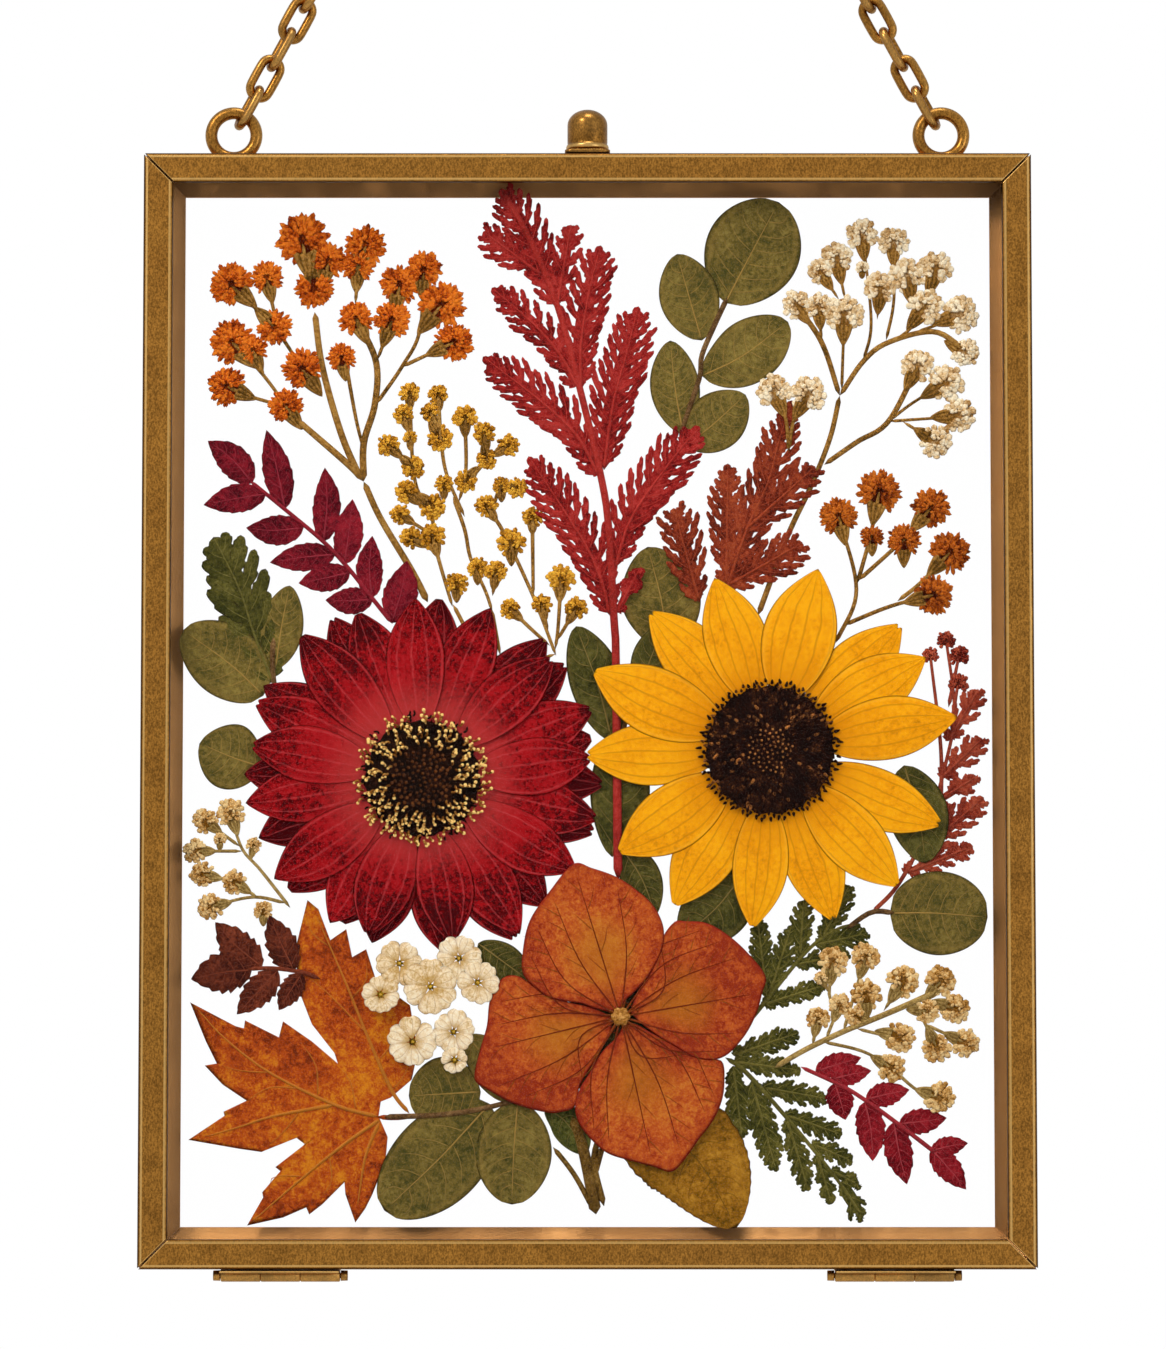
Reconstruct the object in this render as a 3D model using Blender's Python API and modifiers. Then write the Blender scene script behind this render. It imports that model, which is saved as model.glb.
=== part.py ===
"""Pressed flowers between two panes of glass, in a hinged brass frame that hangs on a chain.

The back half hangs from the chain and holds the flowers. The front half is hinged below the bottom bar and
swings down once the closing cap is lifted off. Metres, +Z up, the front faces -Y, and the origin is the point
inside the top of the hang ring where a nail bears. Below, heights are counted from the frame's bottom edge.
"""

import math

import bmesh
import bpy
import numpy as np
from mathutils import Matrix, Vector
from mathutils.geometry import delaunay_2d_cdt

MM = 0.001
GAP = 0.3 * MM

# The frame: 8 x 10 inch outside, two L-section halves that meet at a parting plane.
FRAME_W = 203.2 * MM
FRAME_H = 254.0 * MM
WALL = 2.0 * MM
FLANGE = 1.5 * MM
BACK_FACE_Y = 3.5 * MM
PARTING_Y = -3.65 * MM
FRONT_FACE_Y = -8.0 * MM
BACK_BAR_W = 8.3 * MM
FRONT_BAR_W = 6.4 * MM
EDGE_ROUND = 1.0 * MM
GLASS = 2.0 * MM

# Places in the bouquet are read in pixels of the reference view, which shows the frame 1115 pixels tall.
PIXEL = FRAME_H / 1115
VIEW_CENTRE_X = 587.5
VIEW_BOTTOM_Y = 1270

# The pressed layers between the panes, counted forward from the back pane.
PETAL = 0.25 * MM
LAYER_PITCH = PETAL + GAP
SMALL_CORNER = 3.4 * MM**2

# Rings and chain.
RING_WIRE = 2.4 * MM
EYELET_D = 13.2 * MM
EYELET_X = 358.5 * PIXEL
EYELET_Z = 1139 * PIXEL
HANG_RING_D = 18.0 * MM
LINK_PITCH = 7.7 * MM
LINK_WIRE = 1.8 * MM
LINK_W = 6.8 * MM
LINKS = 21
LINK_TWIST = math.radians(20)

# Latch and hinges.
CAP_D = 9.8 * MM
CAP_Z = 255.4 * MM
CAP_H = 9.6 * MM
CAP_BORE_D = 3.4 * MM
CAP_BORE_DEPTH = 7.0 * MM
POST_D = 2.8 * MM
POST_Y = -2.0 * MM
TAB = 0.8 * MM
BARREL_D = 2.8 * MM
BARREL_Z = -(GAP + BARREL_D / 2)
HINGE_LENGTH = 27.0 * MM
HINGE_X = 69.5 * MM
LEAF_REACH = 3.0 * MM
LEAF_THICK = 0.5 * MM

BACK_PANE_Y = BACK_FACE_Y - FLANGE - GAP - GLASS
FRONT_PANE_Y = FRONT_FACE_Y + FLANGE + GAP + GLASS
STRAND_START = EYELET_D / 2 - RING_WIRE - GAP
STRAND_END = HANG_RING_D / 2 - RING_WIRE - GAP
STRAND = LINKS * LINK_PITCH + STRAND_START + STRAND_END
RING_Z = EYELET_Z + math.sqrt(STRAND**2 - EYELET_X**2)
HANG_DROP = RING_Z + HANG_RING_D / 2 - RING_WIRE

BRASS = ("aged_brass", "#8F6428", 0.38, 1.0)
DARK_BRASS = ("dark_brass", "#3A2A18", 0.5, 1.0)
CLEAR_GLASS = ("clear_glass", "#E8F0EE", 0.02, 0.0)
CRIMSON = ("crimson_petal", "#A5121C", 0.7, 0.0)
YELLOW = ("yellow_petal", "#F0A80C", 0.7, 0.0)
BURNT_ORANGE = ("burnt_orange_petal", "#B5501C", 0.7, 0.0)
ORANGE = ("orange_floret", "#C8500F", 0.8, 0.0)
GOLD = ("gold_floret", "#C98A1A", 0.8, 0.0)
CREAM = ("cream_floret", "#E8D0A0", 0.8, 0.0)
RUST = ("rust_frond", "#85301D", 0.8, 0.0)
MAROON = ("maroon_leaf", "#6A1220", 0.8, 0.0)
BROWN = ("brown_leaf", "#57261A", 0.8, 0.0)
GREEN = ("green_leaf", "#4C5128", 0.8, 0.0)
MAPLE = ("maple_leaf", "#B8601A", 0.8, 0.0)
SEED = ("seed_disc", "#2A120A", 0.9, 0.0)
STEM = ("dry_stem", "#6E5328", 0.8, 0.0)


def linear(channel):
    """sRGB to linear light."""
    return channel / 12.92 if channel <= 0.04045 else ((channel + 0.055) / 1.055) ** 2.4


def material(name, colour, roughness, metallic):
    found = bpy.data.materials.get(name)
    if found:
        return found
    made = bpy.data.materials.new(name)
    made.use_nodes = True
    shader = made.node_tree.nodes["Principled BSDF"]
    rgb = [linear(int(colour[i : i + 2], 16) / 255) for i in (1, 3, 5)]
    shader.inputs["Base Color"].default_value = (*rgb, 1)
    shader.inputs["Roughness"].default_value = roughness
    shader.inputs["Metallic"].default_value = metallic
    made.diffuse_color = (*rgb, 1)
    return made


def collection(name):
    made = bpy.data.collections.new(name)
    bpy.context.scene.collection.children.link(made)
    return made


def group_empty(name, place, parent=None):
    """An empty in frame heights, which its pieces move with."""
    made = bpy.data.objects.new(name, None)
    PARTS.objects.link(made)
    made.location = place
    made.parent = parent
    return made


def add(name, mesh, finish, parent, smooth=True):
    """A node from a mesh whose points are in frame heights, hung on its body's empty."""
    made = bpy.data.objects.new(name, mesh)
    PARTS.objects.link(made)
    made.parent = parent
    if parent is not BACK_HALF:
        made.location = -parent.location
    mesh.materials.append(material(*finish))
    if smooth:
        mesh.shade_smooth()
        mesh.set_sharp_from_angle(angle=math.radians(40))
    return made


def mesh_of(bm, name):
    bmesh.ops.recalc_face_normals(bm, faces=bm.faces)
    mesh = bpy.data.meshes.new(name)
    bm.to_mesh(mesh)
    bm.free()
    return mesh


def add_box(bm, low, high):
    size = Vector(high) - Vector(low)
    centre = (Vector(high) + Vector(low)) / 2
    bmesh.ops.create_cube(bm, size=1, matrix=Matrix.Translation(centre) @ Matrix.Diagonal((*size, 1)))


def box_mesh(name, low, high):
    bm = bmesh.new()
    add_box(bm, low, high)
    return mesh_of(bm, name)


def rod_mesh(name, radius, start, end, sides=12):
    """A round rod between two points."""
    bm = bmesh.new()
    along = Vector(end) - Vector(start)
    turn = along.to_track_quat("Z", "Y").to_matrix().to_4x4()
    place = Matrix.Translation((Vector(start) + Vector(end)) / 2) @ turn
    bmesh.ops.create_cone(
        bm, cap_ends=True, segments=sides, radius1=radius, radius2=radius, depth=along.length, matrix=place
    )
    return mesh_of(bm, name)


def helper(name, mesh):
    """A hidden operand of a Boolean."""
    made = bpy.data.objects.new(name, mesh)
    HELPERS.objects.link(made)
    made.hide_render = True
    made.display_type = "WIRE"
    return made


def boolean(obj, operation, mesh):
    """Joins or cuts obj with a mesh given in frame heights."""
    step = obj.modifiers.new(operation.lower(), "BOOLEAN")
    step.operation = operation
    other = helper(f"{obj.name}_{operation.lower()}_{len(obj.modifiers)}", mesh)
    other.parent = BACK_HALF
    step.object = other


def bar_profile(width, face_y, parting_y):
    """The L-section as (distance in from the outer edge, y), with the outer face's edge rounded."""
    into = math.copysign(1, parting_y - face_y)
    turns = [math.radians(a) for a in (0, 30, 60, 90)]
    round_off = [
        (EDGE_ROUND * (1 - math.cos(a)), face_y + into * EDGE_ROUND * (1 - math.sin(a))) for a in turns
    ]
    flange_y = face_y + into * FLANGE
    return [(0, parting_y)] + round_off + [(width, face_y), (width, flange_y), (WALL, flange_y), (WALL, parting_y)]


def bar(name, side, profile, finish, parent):
    """A mitred bar: the profile, extruded, with each point's ends drawn in by its distance from the outer edge."""
    length, turn, place = {
        "bottom": (FRAME_W, 0, (0, 0, 0)),
        "top": (FRAME_W, 180, (0, 0, FRAME_H)),
        "left": (FRAME_H, 90, (-FRAME_W / 2, 0, FRAME_H / 2)),
        "right": (FRAME_H, -90, (FRAME_W / 2, 0, FRAME_H / 2)),
    }[side]
    bm = bmesh.new()
    mitre_gap = GAP / math.sqrt(2)
    corners = [bm.verts.new((length / 2 - inward - mitre_gap, y, inward)) for inward, y in profile]
    bm.faces.new(corners)
    made = bmesh.ops.extrude_face_region(bm, geom=bm.faces[:])
    for corner in made["geom"]:
        if isinstance(corner, bmesh.types.BMVert):
            corner.co.x = -corner.co.x
    turned = Matrix.Translation(place) @ Matrix.Rotation(math.radians(turn), 4, "Y")
    bmesh.ops.transform(bm, matrix=turned, verts=bm.verts)
    return add(name, mesh_of(bm, name), finish, parent)


def frame_bars():
    back = bar_profile(BACK_BAR_W, BACK_FACE_Y, PARTING_Y + GAP / 2)
    front = bar_profile(FRONT_BAR_W, FRONT_FACE_Y, PARTING_Y - GAP / 2)
    for side in ("top", "bottom", "left", "right"):
        bar(f"back_bar_{side}", side, back, DARK_BRASS, BACK_HALF)
        bar(f"front_bar_{side}", side, front, BRASS, FRONT_HALF)


def panes():
    inset = WALL + GAP
    for name, y, parent in (("back_glass", BACK_PANE_Y, BACK_HALF), ("front_glass", FRONT_PANE_Y - GLASS, FRONT_HALF)):
        low = (-FRAME_W / 2 + inset, y, inset)
        high = (FRAME_W / 2 - inset, y + GLASS, FRAME_H - inset)
        add(name, box_mesh(name, low, high), CLEAR_GLASS, parent, smooth=False)


def torus_mesh(name, outer_d, wire_d, centre, steps, wire_steps=6):
    """A ring in the frame's plane."""
    bpy.ops.mesh.primitive_torus_add(
        major_segments=steps,
        minor_segments=wire_steps,
        major_radius=(outer_d - wire_d) / 2,
        minor_radius=wire_d / 2,
    )
    made = bpy.context.object
    mesh = made.data
    bpy.data.objects.remove(made)
    mesh.name = name
    mesh.transform(Matrix.Translation(centre) @ Matrix.Rotation(math.radians(90), 4, "X"))
    return mesh


def eyelet(name, x):
    """A soldered ring: its lower edge is cut off flat above the top bar and stands on a low foot."""
    floor_z = FRAME_H + GAP
    ring = torus_mesh(name, EYELET_D, RING_WIRE, (x, 0, EYELET_Z), 12)
    made = add(name, ring, BRASS, BACK_HALF)
    foot = ((x - 3.2 * MM, -1.6 * MM, floor_z), (x + 3.2 * MM, 1.6 * MM, floor_z + 0.9 * MM))
    boolean(made, "UNION", box_mesh(name + "_foot", *foot))
    below = ((x - EYELET_D, -5 * MM, floor_z - 5 * MM), (x + EYELET_D, 5 * MM, floor_z))
    boolean(made, "DIFFERENCE", box_mesh(name + "_below", *below))


def link_mesh(name, length, width, wire, steps=6):
    """An oval link along Z in the XZ plane: a torus whose two halves are drawn apart."""
    mesh = torus_mesh(name, width, wire, (0, 0, 0), steps, 4)
    mesh.transform(Matrix.Rotation(math.pi / steps, 4, "Y"))
    for point in mesh.vertices:
        point.co.z += math.copysign((length - width) / 2, point.co.z)
    return mesh


def chain_strand(name, side):
    """Links on a straight line from an eyelet to the hang ring, each turned a quarter from the last."""
    start = Vector((side * EYELET_X, 0, EYELET_Z))
    along = (Vector((0, 0, RING_Z)) - start).normalized()
    lean = along.to_track_quat("Z", "Y").to_matrix().to_4x4()
    overlap = 0.1 * MM
    first = None
    for number in range(LINKS):
        mesh = link_mesh(f"{name}_{number}", LINK_PITCH + 2 * LINK_WIRE - overlap, LINK_W, LINK_WIRE)
        place = start + along * (STRAND_START + (number + 0.5) * LINK_PITCH)
        turn = math.radians(90) * number - side * LINK_TWIST
        mesh.transform(Matrix.Translation(place) @ lean @ Matrix.Rotation(turn, 4, "Z"))
        if first is None:
            first = add(name, mesh, BRASS, BACK_HALF)
            step = first.modifiers.new("links", "BOOLEAN")
            step.operation = "UNION"
            step.operand_type = "COLLECTION"
            step.collection = bpy.data.collections.new(name + "_links")
            HELPERS.children.link(step.collection)
        else:
            other = bpy.data.objects.new(f"{name}_link_{number}", mesh)
            step.collection.objects.link(other)
            other.hide_render = True
            other.parent = BACK_HALF


def closing_cap():
    """A turned brass cap with a domed top, a small roll at its foot and a blind bore for the post."""
    radius = CAP_D / 2
    bore = CAP_BORE_D / 2
    dome = [(radius * math.cos(a), CAP_H - 2.4 * MM + 2.4 * MM * math.sin(a)) for a in np.radians((0, 25, 50, 72))]
    profile = [(0, CAP_H)] + dome[::-1] + [(radius - 0.4 * MM, 1.6 * MM), (radius, 1.1 * MM), (radius, 0.3 * MM)]
    profile += [(radius - 0.3 * MM, 0), (bore, 0), (bore, CAP_BORE_DEPTH), (0, CAP_BORE_DEPTH)]
    mesh = bpy.data.meshes.new("closing_cap")
    points = [(x, 0, z) for x, z in profile]
    mesh.from_pydata(points, [(i, i + 1) for i in range(len(points) - 1)], [])
    mesh.materials.append(material(*BRASS))
    made = bpy.data.objects.new("closing_cap", mesh)
    PARTS.objects.link(made)
    made.parent = CAP
    turned = made.modifiers.new("turned", "SCREW")
    turned.steps = turned.render_steps = 16
    turned.use_merge_vertices = True
    turned.merge_threshold = 0.01 * MM
    turned.use_smooth_shade = True


def latch():
    """The post stands on the back half. The tab on the front half forks round it, open to the back, below the cap."""
    foot = (0, POST_Y, FRAME_H + GAP)
    top = (0, POST_Y, CAP_Z + CAP_BORE_DEPTH - 2 * GAP)
    add("latch_post", rod_mesh("latch_post", POST_D / 2, foot, top), BRASS, BACK_HALF)
    low = (-CAP_D / 2 - 0.3 * MM, POST_Y - CAP_D / 2 - 0.2 * MM, FRAME_H + GAP)
    high = (CAP_D / 2 + 0.3 * MM, POST_Y + POST_D / 2 + 1.0 * MM, FRAME_H + GAP + TAB)
    made = add("latch_tab", box_mesh("latch_tab", low, high), BRASS, FRONT_HALF, smooth=False)
    room = POST_D / 2 + GAP
    slot = ((-room, POST_Y - room, FRAME_H), (room, POST_Y + CAP_D, FRAME_H + 5 * MM))
    boolean(made, "DIFFERENCE", box_mesh("latch_slot", *slot))


def hinge_leaf(name, x, own, towards, parent):
    """A plate under the bar and the barrel's own knuckles: own lists them as shares of the length."""
    radius = BARREL_D / 2
    start, end = x - HINGE_LENGTH / 2, x + HINGE_LENGTH / 2
    barrel = rod_mesh(name, radius, (start, PARTING_Y, BARREL_Z), (end, PARTING_Y, BARREL_Z))
    made = add(name, barrel, BRASS, parent)
    near, far = sorted((PARTING_Y + towards * 0.2 * MM, PARTING_Y + towards * (radius + LEAF_REACH)))
    plate = ((start, near, -GAP - LEAF_THICK), (end, far, -GAP - 0.02 * MM))
    boolean(made, "UNION", box_mesh(name + "_plate", *plate))
    reach = radius + GAP
    for low, high in own:
        cut = ((start + low, PARTING_Y - reach, BARREL_Z - reach), (start + high, PARTING_Y + reach, BARREL_Z + reach))
        boolean(made, "DIFFERENCE", box_mesh(name + "_cut", *cut))
    bore = rod_mesh(
        name + "_bore", 0.9 * MM, (start - MM, PARTING_Y, BARREL_Z), (end + MM, PARTING_Y, BARREL_Z), 10
    )
    boolean(made, "DIFFERENCE", bore)


def hinges():
    """Three knuckles a hinge: the outer two on the back leaf and the middle one on the front leaf, on one pin."""
    third = HINGE_LENGTH / 3
    for side, x in (("left", -HINGE_X), ("right", HINGE_X)):
        middle = [(third - GAP / 2, 2 * third + GAP / 2)]
        outer = [(-MM, third + GAP / 2), (2 * third - GAP / 2, HINGE_LENGTH + MM)]
        hinge_leaf(f"hinge_back_leaf_{side}", x, middle, 1, BACK_HALF)
        hinge_leaf(f"hinge_front_leaf_{side}", x, outer, -1, FRONT_HALF)
        name = f"hinge_pin_{side}"
        reach = HINGE_LENGTH / 2 + 1.6 * MM
        axle = rod_mesh(name, 0.6 * MM, (x - reach, PARTING_Y, BARREL_Z), (x + reach, PARTING_Y, BARREL_Z))
        made = add(name, axle, BRASS, BACK_HALF)
        for end in (-1, 1):
            head = (x + end * (HINGE_LENGTH / 2 + GAP), PARTING_Y, BARREL_Z)
            tip = (x + end * (reach + 0.1 * MM), PARTING_Y, BARREL_Z)
            boolean(made, "UNION", rod_mesh(f"{name}_head", 1.2 * MM, head, tip))


# Outlines in view pixels, x right and y down.


def disc(x, y, radius, sides=6):
    turns = np.arange(sides) * math.tau / sides + 0.3
    return np.column_stack([x + radius * np.cos(turns), y + radius * np.sin(turns)])


def strip(points, width, end_width=None):
    """A stem: a band along a line, tapering from width to end_width."""
    points = np.array(points, float)
    steps = np.gradient(points, axis=0)
    normals = np.column_stack([-steps[:, 1], steps[:, 0]]) / np.hypot(*steps.T)[:, None]
    half = np.linspace(width, width if end_width is None else end_width, len(points))[:, None] / 2
    return np.vstack([points + normals * half, (points - normals * half)[::-1]])


def along_path(path, shares):
    """Points and unit normals at these shares of a path's length."""
    path = np.array(path, float)
    lengths = np.append(0, np.cumsum(np.hypot(*np.diff(path, axis=0).T)))
    at = np.array(shares) * lengths[-1]
    points = np.column_stack([np.interp(at, lengths, path[:, k]) for k in (0, 1)])
    ahead = np.column_stack([np.interp(at + 2, lengths, path[:, k]) for k in (0, 1)])
    behind = np.column_stack([np.interp(at - 2, lengths, path[:, k]) for k in (0, 1)])
    steps = ahead - behind
    normals = np.column_stack([-steps[:, 1], steps[:, 0]]) / np.hypot(*steps.T)[:, None]
    return points, normals


def blade(path, width, belly=0.45, fullness=0.8, points=4):
    """A leaf or petal from base to tip: half its width is sin(pi t^k)^fullness, with k set by the belly."""
    shares = (np.arange(points) + 0.7) / (points + 0.4)
    skew = math.log(0.5) / math.log(belly)
    half = width / 2 * np.sin(math.pi * shares**skew) ** fullness
    middle, normals = along_path(path, shares)
    left, right = middle + normals * half[:, None], middle - normals * half[:, None]
    return np.vstack([path[0], left, path[-1], right[::-1]])


def frond(path, width, lobes, depth=0.55, belly=0.4):
    """A lobed frond: a blade whose edge goes in by depth between its lobes."""
    shares = (np.arange(2 * lobes) + 0.6) / (2 * lobes + 0.3)
    skew = math.log(0.5) / math.log(belly)
    half = width / 2 * np.sin(math.pi * shares**skew) ** 0.6
    half[::2] *= 1 - depth
    middle, normals = along_path(path, shares)
    left, right = middle + normals * half[:, None], middle - normals * half[:, None]
    return np.vstack([path[0], left, path[-1], right[::-1]])


def drop_small_corners(bm):
    """Drops the outline's corners one by one, the smallest first, while one cuts off less than SMALL_CORNER."""

    def cut_off(corner):
        before, after = (edge.other_vert(corner).co for edge in corner.link_edges)
        return (before - corner.co).cross(after - corner.co).length / 2

    while True:
        corners = [v for v in bm.verts if len(v.link_edges) == 2]
        smallest = min(corners, key=cut_off)
        if cut_off(smallest) > SMALL_CORNER:
            return
        bmesh.ops.dissolve_verts(bm, verts=[smallest])


def union_sheet(outlines):
    """One flat sheet, in frame metres, that covers every outline: a constrained triangulation, then dissolved."""
    points, faces = [], []
    for outline in outlines:
        faces.append(list(range(len(points), len(points) + len(outline))))
        x = (outline[:, 0] - VIEW_CENTRE_X) * PIXEL / MM
        z = (VIEW_BOTTOM_Y - outline[:, 1]) * PIXEL / MM
        clockwise = np.sum(x * np.roll(z, -1) - np.roll(x, -1) * z) < 0
        corners = [Vector(corner) for corner in zip(x, z)]
        points += corners[::-1] if clockwise else corners
    where, _, cells, _, _, covered = delaunay_2d_cdt(points, [], faces, 1, 0.003, True)
    bm = bmesh.new()
    corners = [bm.verts.new((p.x * MM, 0, p.y * MM)) for p in where]
    for cell, owners in zip(cells, covered):
        if owners:
            bm.faces.new([corners[i] for i in cell])
    loose = [v for v in bm.verts if not v.link_faces]
    bmesh.ops.delete(bm, geom=loose, context="VERTS")
    bmesh.ops.recalc_face_normals(bm, faces=bm.faces)
    bmesh.ops.dissolve_limit(bm, angle_limit=0.01, verts=bm.verts[:], edges=bm.edges[:])
    drop_small_corners(bm)
    return bm


def pressed(name, layer, finish, outlines):
    """A pressed piece in its layer: its outlines joined in one sheet, with the layer's thickness."""
    bm = union_sheet(outlines)
    up = BACK_PANE_Y - GAP - layer * LAYER_PITCH
    bmesh.ops.translate(bm, vec=(0, up - PETAL, 0), verts=bm.verts)
    made = bmesh.ops.extrude_face_region(bm, geom=bm.faces[:])
    raised = [part for part in made["geom"] if isinstance(part, bmesh.types.BMVert)]
    bmesh.ops.translate(bm, vec=(0, PETAL, 0), verts=raised)
    return add(name, mesh_of(bm, name), finish, BACK_HALF, smooth=False)


def heads(places, sides=5):
    return [disc(x, y, r, sides) for x, y, r in places]


def stems(lines, width):
    return [strip(line, width, width * 0.8) for line in lines]


def petals(centre, inner, tips, widths, belly=0.55):
    """Petals from a circle round the centre to their tips, with a plain ring that joins them."""
    cx, cy = centre
    made = [disc(cx, cy, inner + 6, 14)]
    for (x, y), width in zip(tips, widths):
        reach = math.hypot(x - cx, y - cy)
        start = (cx + (x - cx) * inner / reach, cy + (y - cy) * inner / reach)
        made.append(blade([start, (x, y)], width, belly, 0.62, 4))
    return made


def seed_disc(name, centre, radius, layer, finish, top=0.55):
    """A low dome over the petals' middle, a little short of the front pane."""
    cx, cy = centre
    back = BACK_PANE_Y - GAP - layer * LAYER_PITCH
    front = FRONT_PANE_Y + GAP
    middle = Vector(((cx - VIEW_CENTRE_X) * PIXEL, 0, (VIEW_BOTTOM_Y - cy) * PIXEL))
    bm = bmesh.new()
    height = back - front
    place = Matrix.Translation(middle) @ Matrix.Rotation(math.radians(90), 4, "X")
    bmesh.ops.create_cone(
        bm, cap_ends=True, segments=18, radius1=radius * PIXEL, radius2=radius * PIXEL * top, depth=height, matrix=place
    )
    bmesh.ops.translate(bm, vec=(0, (back + front) / 2, 0), verts=bm.verts)
    return add(name, mesh_of(bm, name), finish, BACK_HALF)


# Where the bouquet's pieces lie, in view pixels. A head is (x, y, radius), a leaf (base, tip, width).

GERBERA = (422, 783)
GERBERA_FRONT_TIPS = [
    (415, 602), (490, 612), (554, 662), (594, 713), (593, 763), (599, 824), (577, 876), (520, 939), (453, 948),
    (367, 941), (330, 928), (274, 884), (245, 808), (249, 750), (253, 706), (299, 638), (356, 615),
]
GERBERA_BACK_TIPS = [
    (439, 600), (547, 642), (568, 668), (594, 742), (605, 789), (596, 838), (547, 912), (516, 946), (445, 959),
    (372, 948), (341, 930), (287, 897), (258, 843), (243, 779), (262, 690), (330, 620),
]
SUNFLOWER = (770, 755)
SUNFLOWER_TIPS = [
    (819, 573), (903, 628), (927, 662), (958, 722), (943, 830), (899, 892), (834, 927), (752, 934), (673, 912),
    (617, 858), (584, 760), (592, 675), (649, 615), (715, 582),
]
HYDRANGEA = (620.5, 1021)
HYDRANGEA_TIPS = [(573, 869), (766, 981), (671, 1175), (475, 1083)]
HYDRANGEA_WIDTHS = [141, 140, 139, 128]

ORANGE_LEFT_HEADS = [
    (299, 235, 27), (364, 242, 21), (327, 258, 19), (356, 264, 17), (226, 282, 22), (263, 275, 17), (312, 291, 20),
    (353, 317, 18), (391, 318, 19), (398, 282, 20), (422, 267, 19), (442, 303, 24), (455, 342, 20), (339, 357, 15),
    (299, 368, 21), (273, 329, 18), (227, 341, 23), (249, 349, 15), (222, 387, 20), (282, 406, 18),
]
ORANGE_LEFT_TRUNKS = [
    [(362, 484), (379, 521), (410, 573), (427, 606)],
    [(294, 421), (349, 469), (362, 484)],
    [(312, 312), (320, 368), (339, 435), (358, 480)],
    [(353, 317), (374, 362), (373, 406), (362, 445), (362, 484)],
]
ORANGE_LEFT_TWIGS = [
    [(303, 372), (320, 398)], [(343, 360), (354, 420), (362, 452)], [(391, 318), (375, 362)],
    [(374, 406), (400, 368), (418, 332), (422, 270)], [(400, 368), (412, 362), (455, 342)],
    [(418, 332), (442, 303)], [(299, 240), (308, 290)], [(327, 260), (318, 290)], [(356, 266), (353, 305)],
    [(364, 244), (358, 262)], [(398, 284), (392, 318)], [(226, 284), (253, 309), (273, 329)],
    [(263, 277), (274, 325)], [(274, 330), (295, 362)], [(227, 341), (257, 372), (280, 402)],
    [(249, 349), (262, 378)], [(222, 387), (245, 397), (275, 406)], [(282, 406), (294, 423)],
    [(299, 370), (306, 380)],
]
GOLDENROD_HEADS = [
    (408, 393, 11), (437, 395, 11), (402, 415, 11), (428, 413, 10), (464, 418, 13), (386, 447, 12), (409, 439, 8),
    (440, 442, 14), (483, 434, 12), (509, 447, 12), (413, 471, 12), (486, 463, 11), (404, 494, 12), (443, 486, 10),
    (464, 485, 12), (501, 488, 10), (518, 491, 11), (398, 517, 11), (433, 511, 14), (485, 508, 12), (532, 519, 11),
    (409, 540, 12), (431, 538, 14), (511, 544, 15), (477, 570, 11), (496, 574, 12), (456, 586, 12), (561, 581, 15),
    (509, 612, 11), (541, 607, 11), (577, 611, 12),
]
GOLDENROD_STEMS = [
    [(431, 538), (441, 574), (452, 611)], [(452, 499), (464, 533), (470, 562), (485, 595), (492, 616)],
    [(464, 418), (465, 474), (458, 505)], [(485, 508), (500, 530), (513, 556), (535, 605), (556, 660)],
    [(532, 519), (533, 600)], [(561, 581), (558, 631), (555, 654)], [(577, 611), (556, 646)],
    [(509, 612), (533, 635), (550, 650)], [(408, 393), (412, 471), (420, 500), (433, 511)],
    [(437, 395), (440, 442), (446, 478), (464, 520)], [(386, 447), (413, 471)], [(404, 494), (433, 520)],
    [(509, 447), (486, 463), (464, 490)], [(518, 491), (501, 488), (490, 520)], [(398, 517), (431, 538)],
    [(483, 434), (488, 462)], [(541, 607), (548, 636)], [(496, 574), (492, 600)], [(409, 540), (436, 556)],
    [(402, 415), (411, 450)], [(428, 413), (438, 430)], [(433, 511), (431, 538)],
    [(452, 608), (478, 650), (520, 668), (556, 658)], [(491, 612), (500, 660)],
]
CREAM_TOP_HEADS = [
    (865, 232, 17), (897, 239, 16), (839, 256, 17), (822, 270, 14), (940, 266, 18), (910, 273, 19), (884, 286, 17),
    (797, 303, 15), (821, 305, 15), (847, 312, 20), (930, 305, 19), (966, 314, 19), (970, 354, 15), (922, 365, 18),
    (951, 383, 19), (964, 417, 18), (941, 445, 17), (865, 266, 7),
]
CREAM_TOP_TRUNKS = [
    [(842, 397), (832, 440), (813, 488), (789, 539), (759, 619)], [(842, 397), (824, 343), (797, 303)],
    [(842, 397), (866, 362), (891, 343), (937, 332), (968, 350)], [(826, 467), (859, 444), (891, 423), (922, 365)],
]
CREAM_TOP_TWIGS = [
    [(824, 343), (821, 305)], [(844, 391), (847, 312)], [(866, 362), (874, 322), (866, 235)],
    [(889, 341), (897, 300), (897, 239)], [(899, 341), (918, 320), (910, 273)], [(918, 333), (966, 316)],
    [(891, 423), (916, 404), (951, 383)], [(891, 423), (962, 418)], [(905, 423), (941, 445)],
    [(839, 256), (848, 300)], [(822, 270), (842, 300)], [(884, 286), (880, 320)], [(925, 318), (940, 268)],
    [(930, 305), (912, 328)],
]
CREAM_LEFT_HEADS = [
    (229, 816, 15), (203, 825, 13), (193, 856, 13), (200, 879, 13), (232, 886, 13), (208, 912, 14), (253, 849, 8),
    (263, 914, 10), (219, 843, 7),
]
CREAM_LEFT_STEMS = [
    [(290, 913), (260, 875), (241, 853), (229, 816)], [(242, 856), (193, 856)],
    [(240, 852), (203, 825)], [(286, 908), (252, 902), (208, 912)], [(258, 903), (232, 886)],
    [(232, 886), (200, 879)], [(253, 849), (250, 866)],
]
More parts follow.
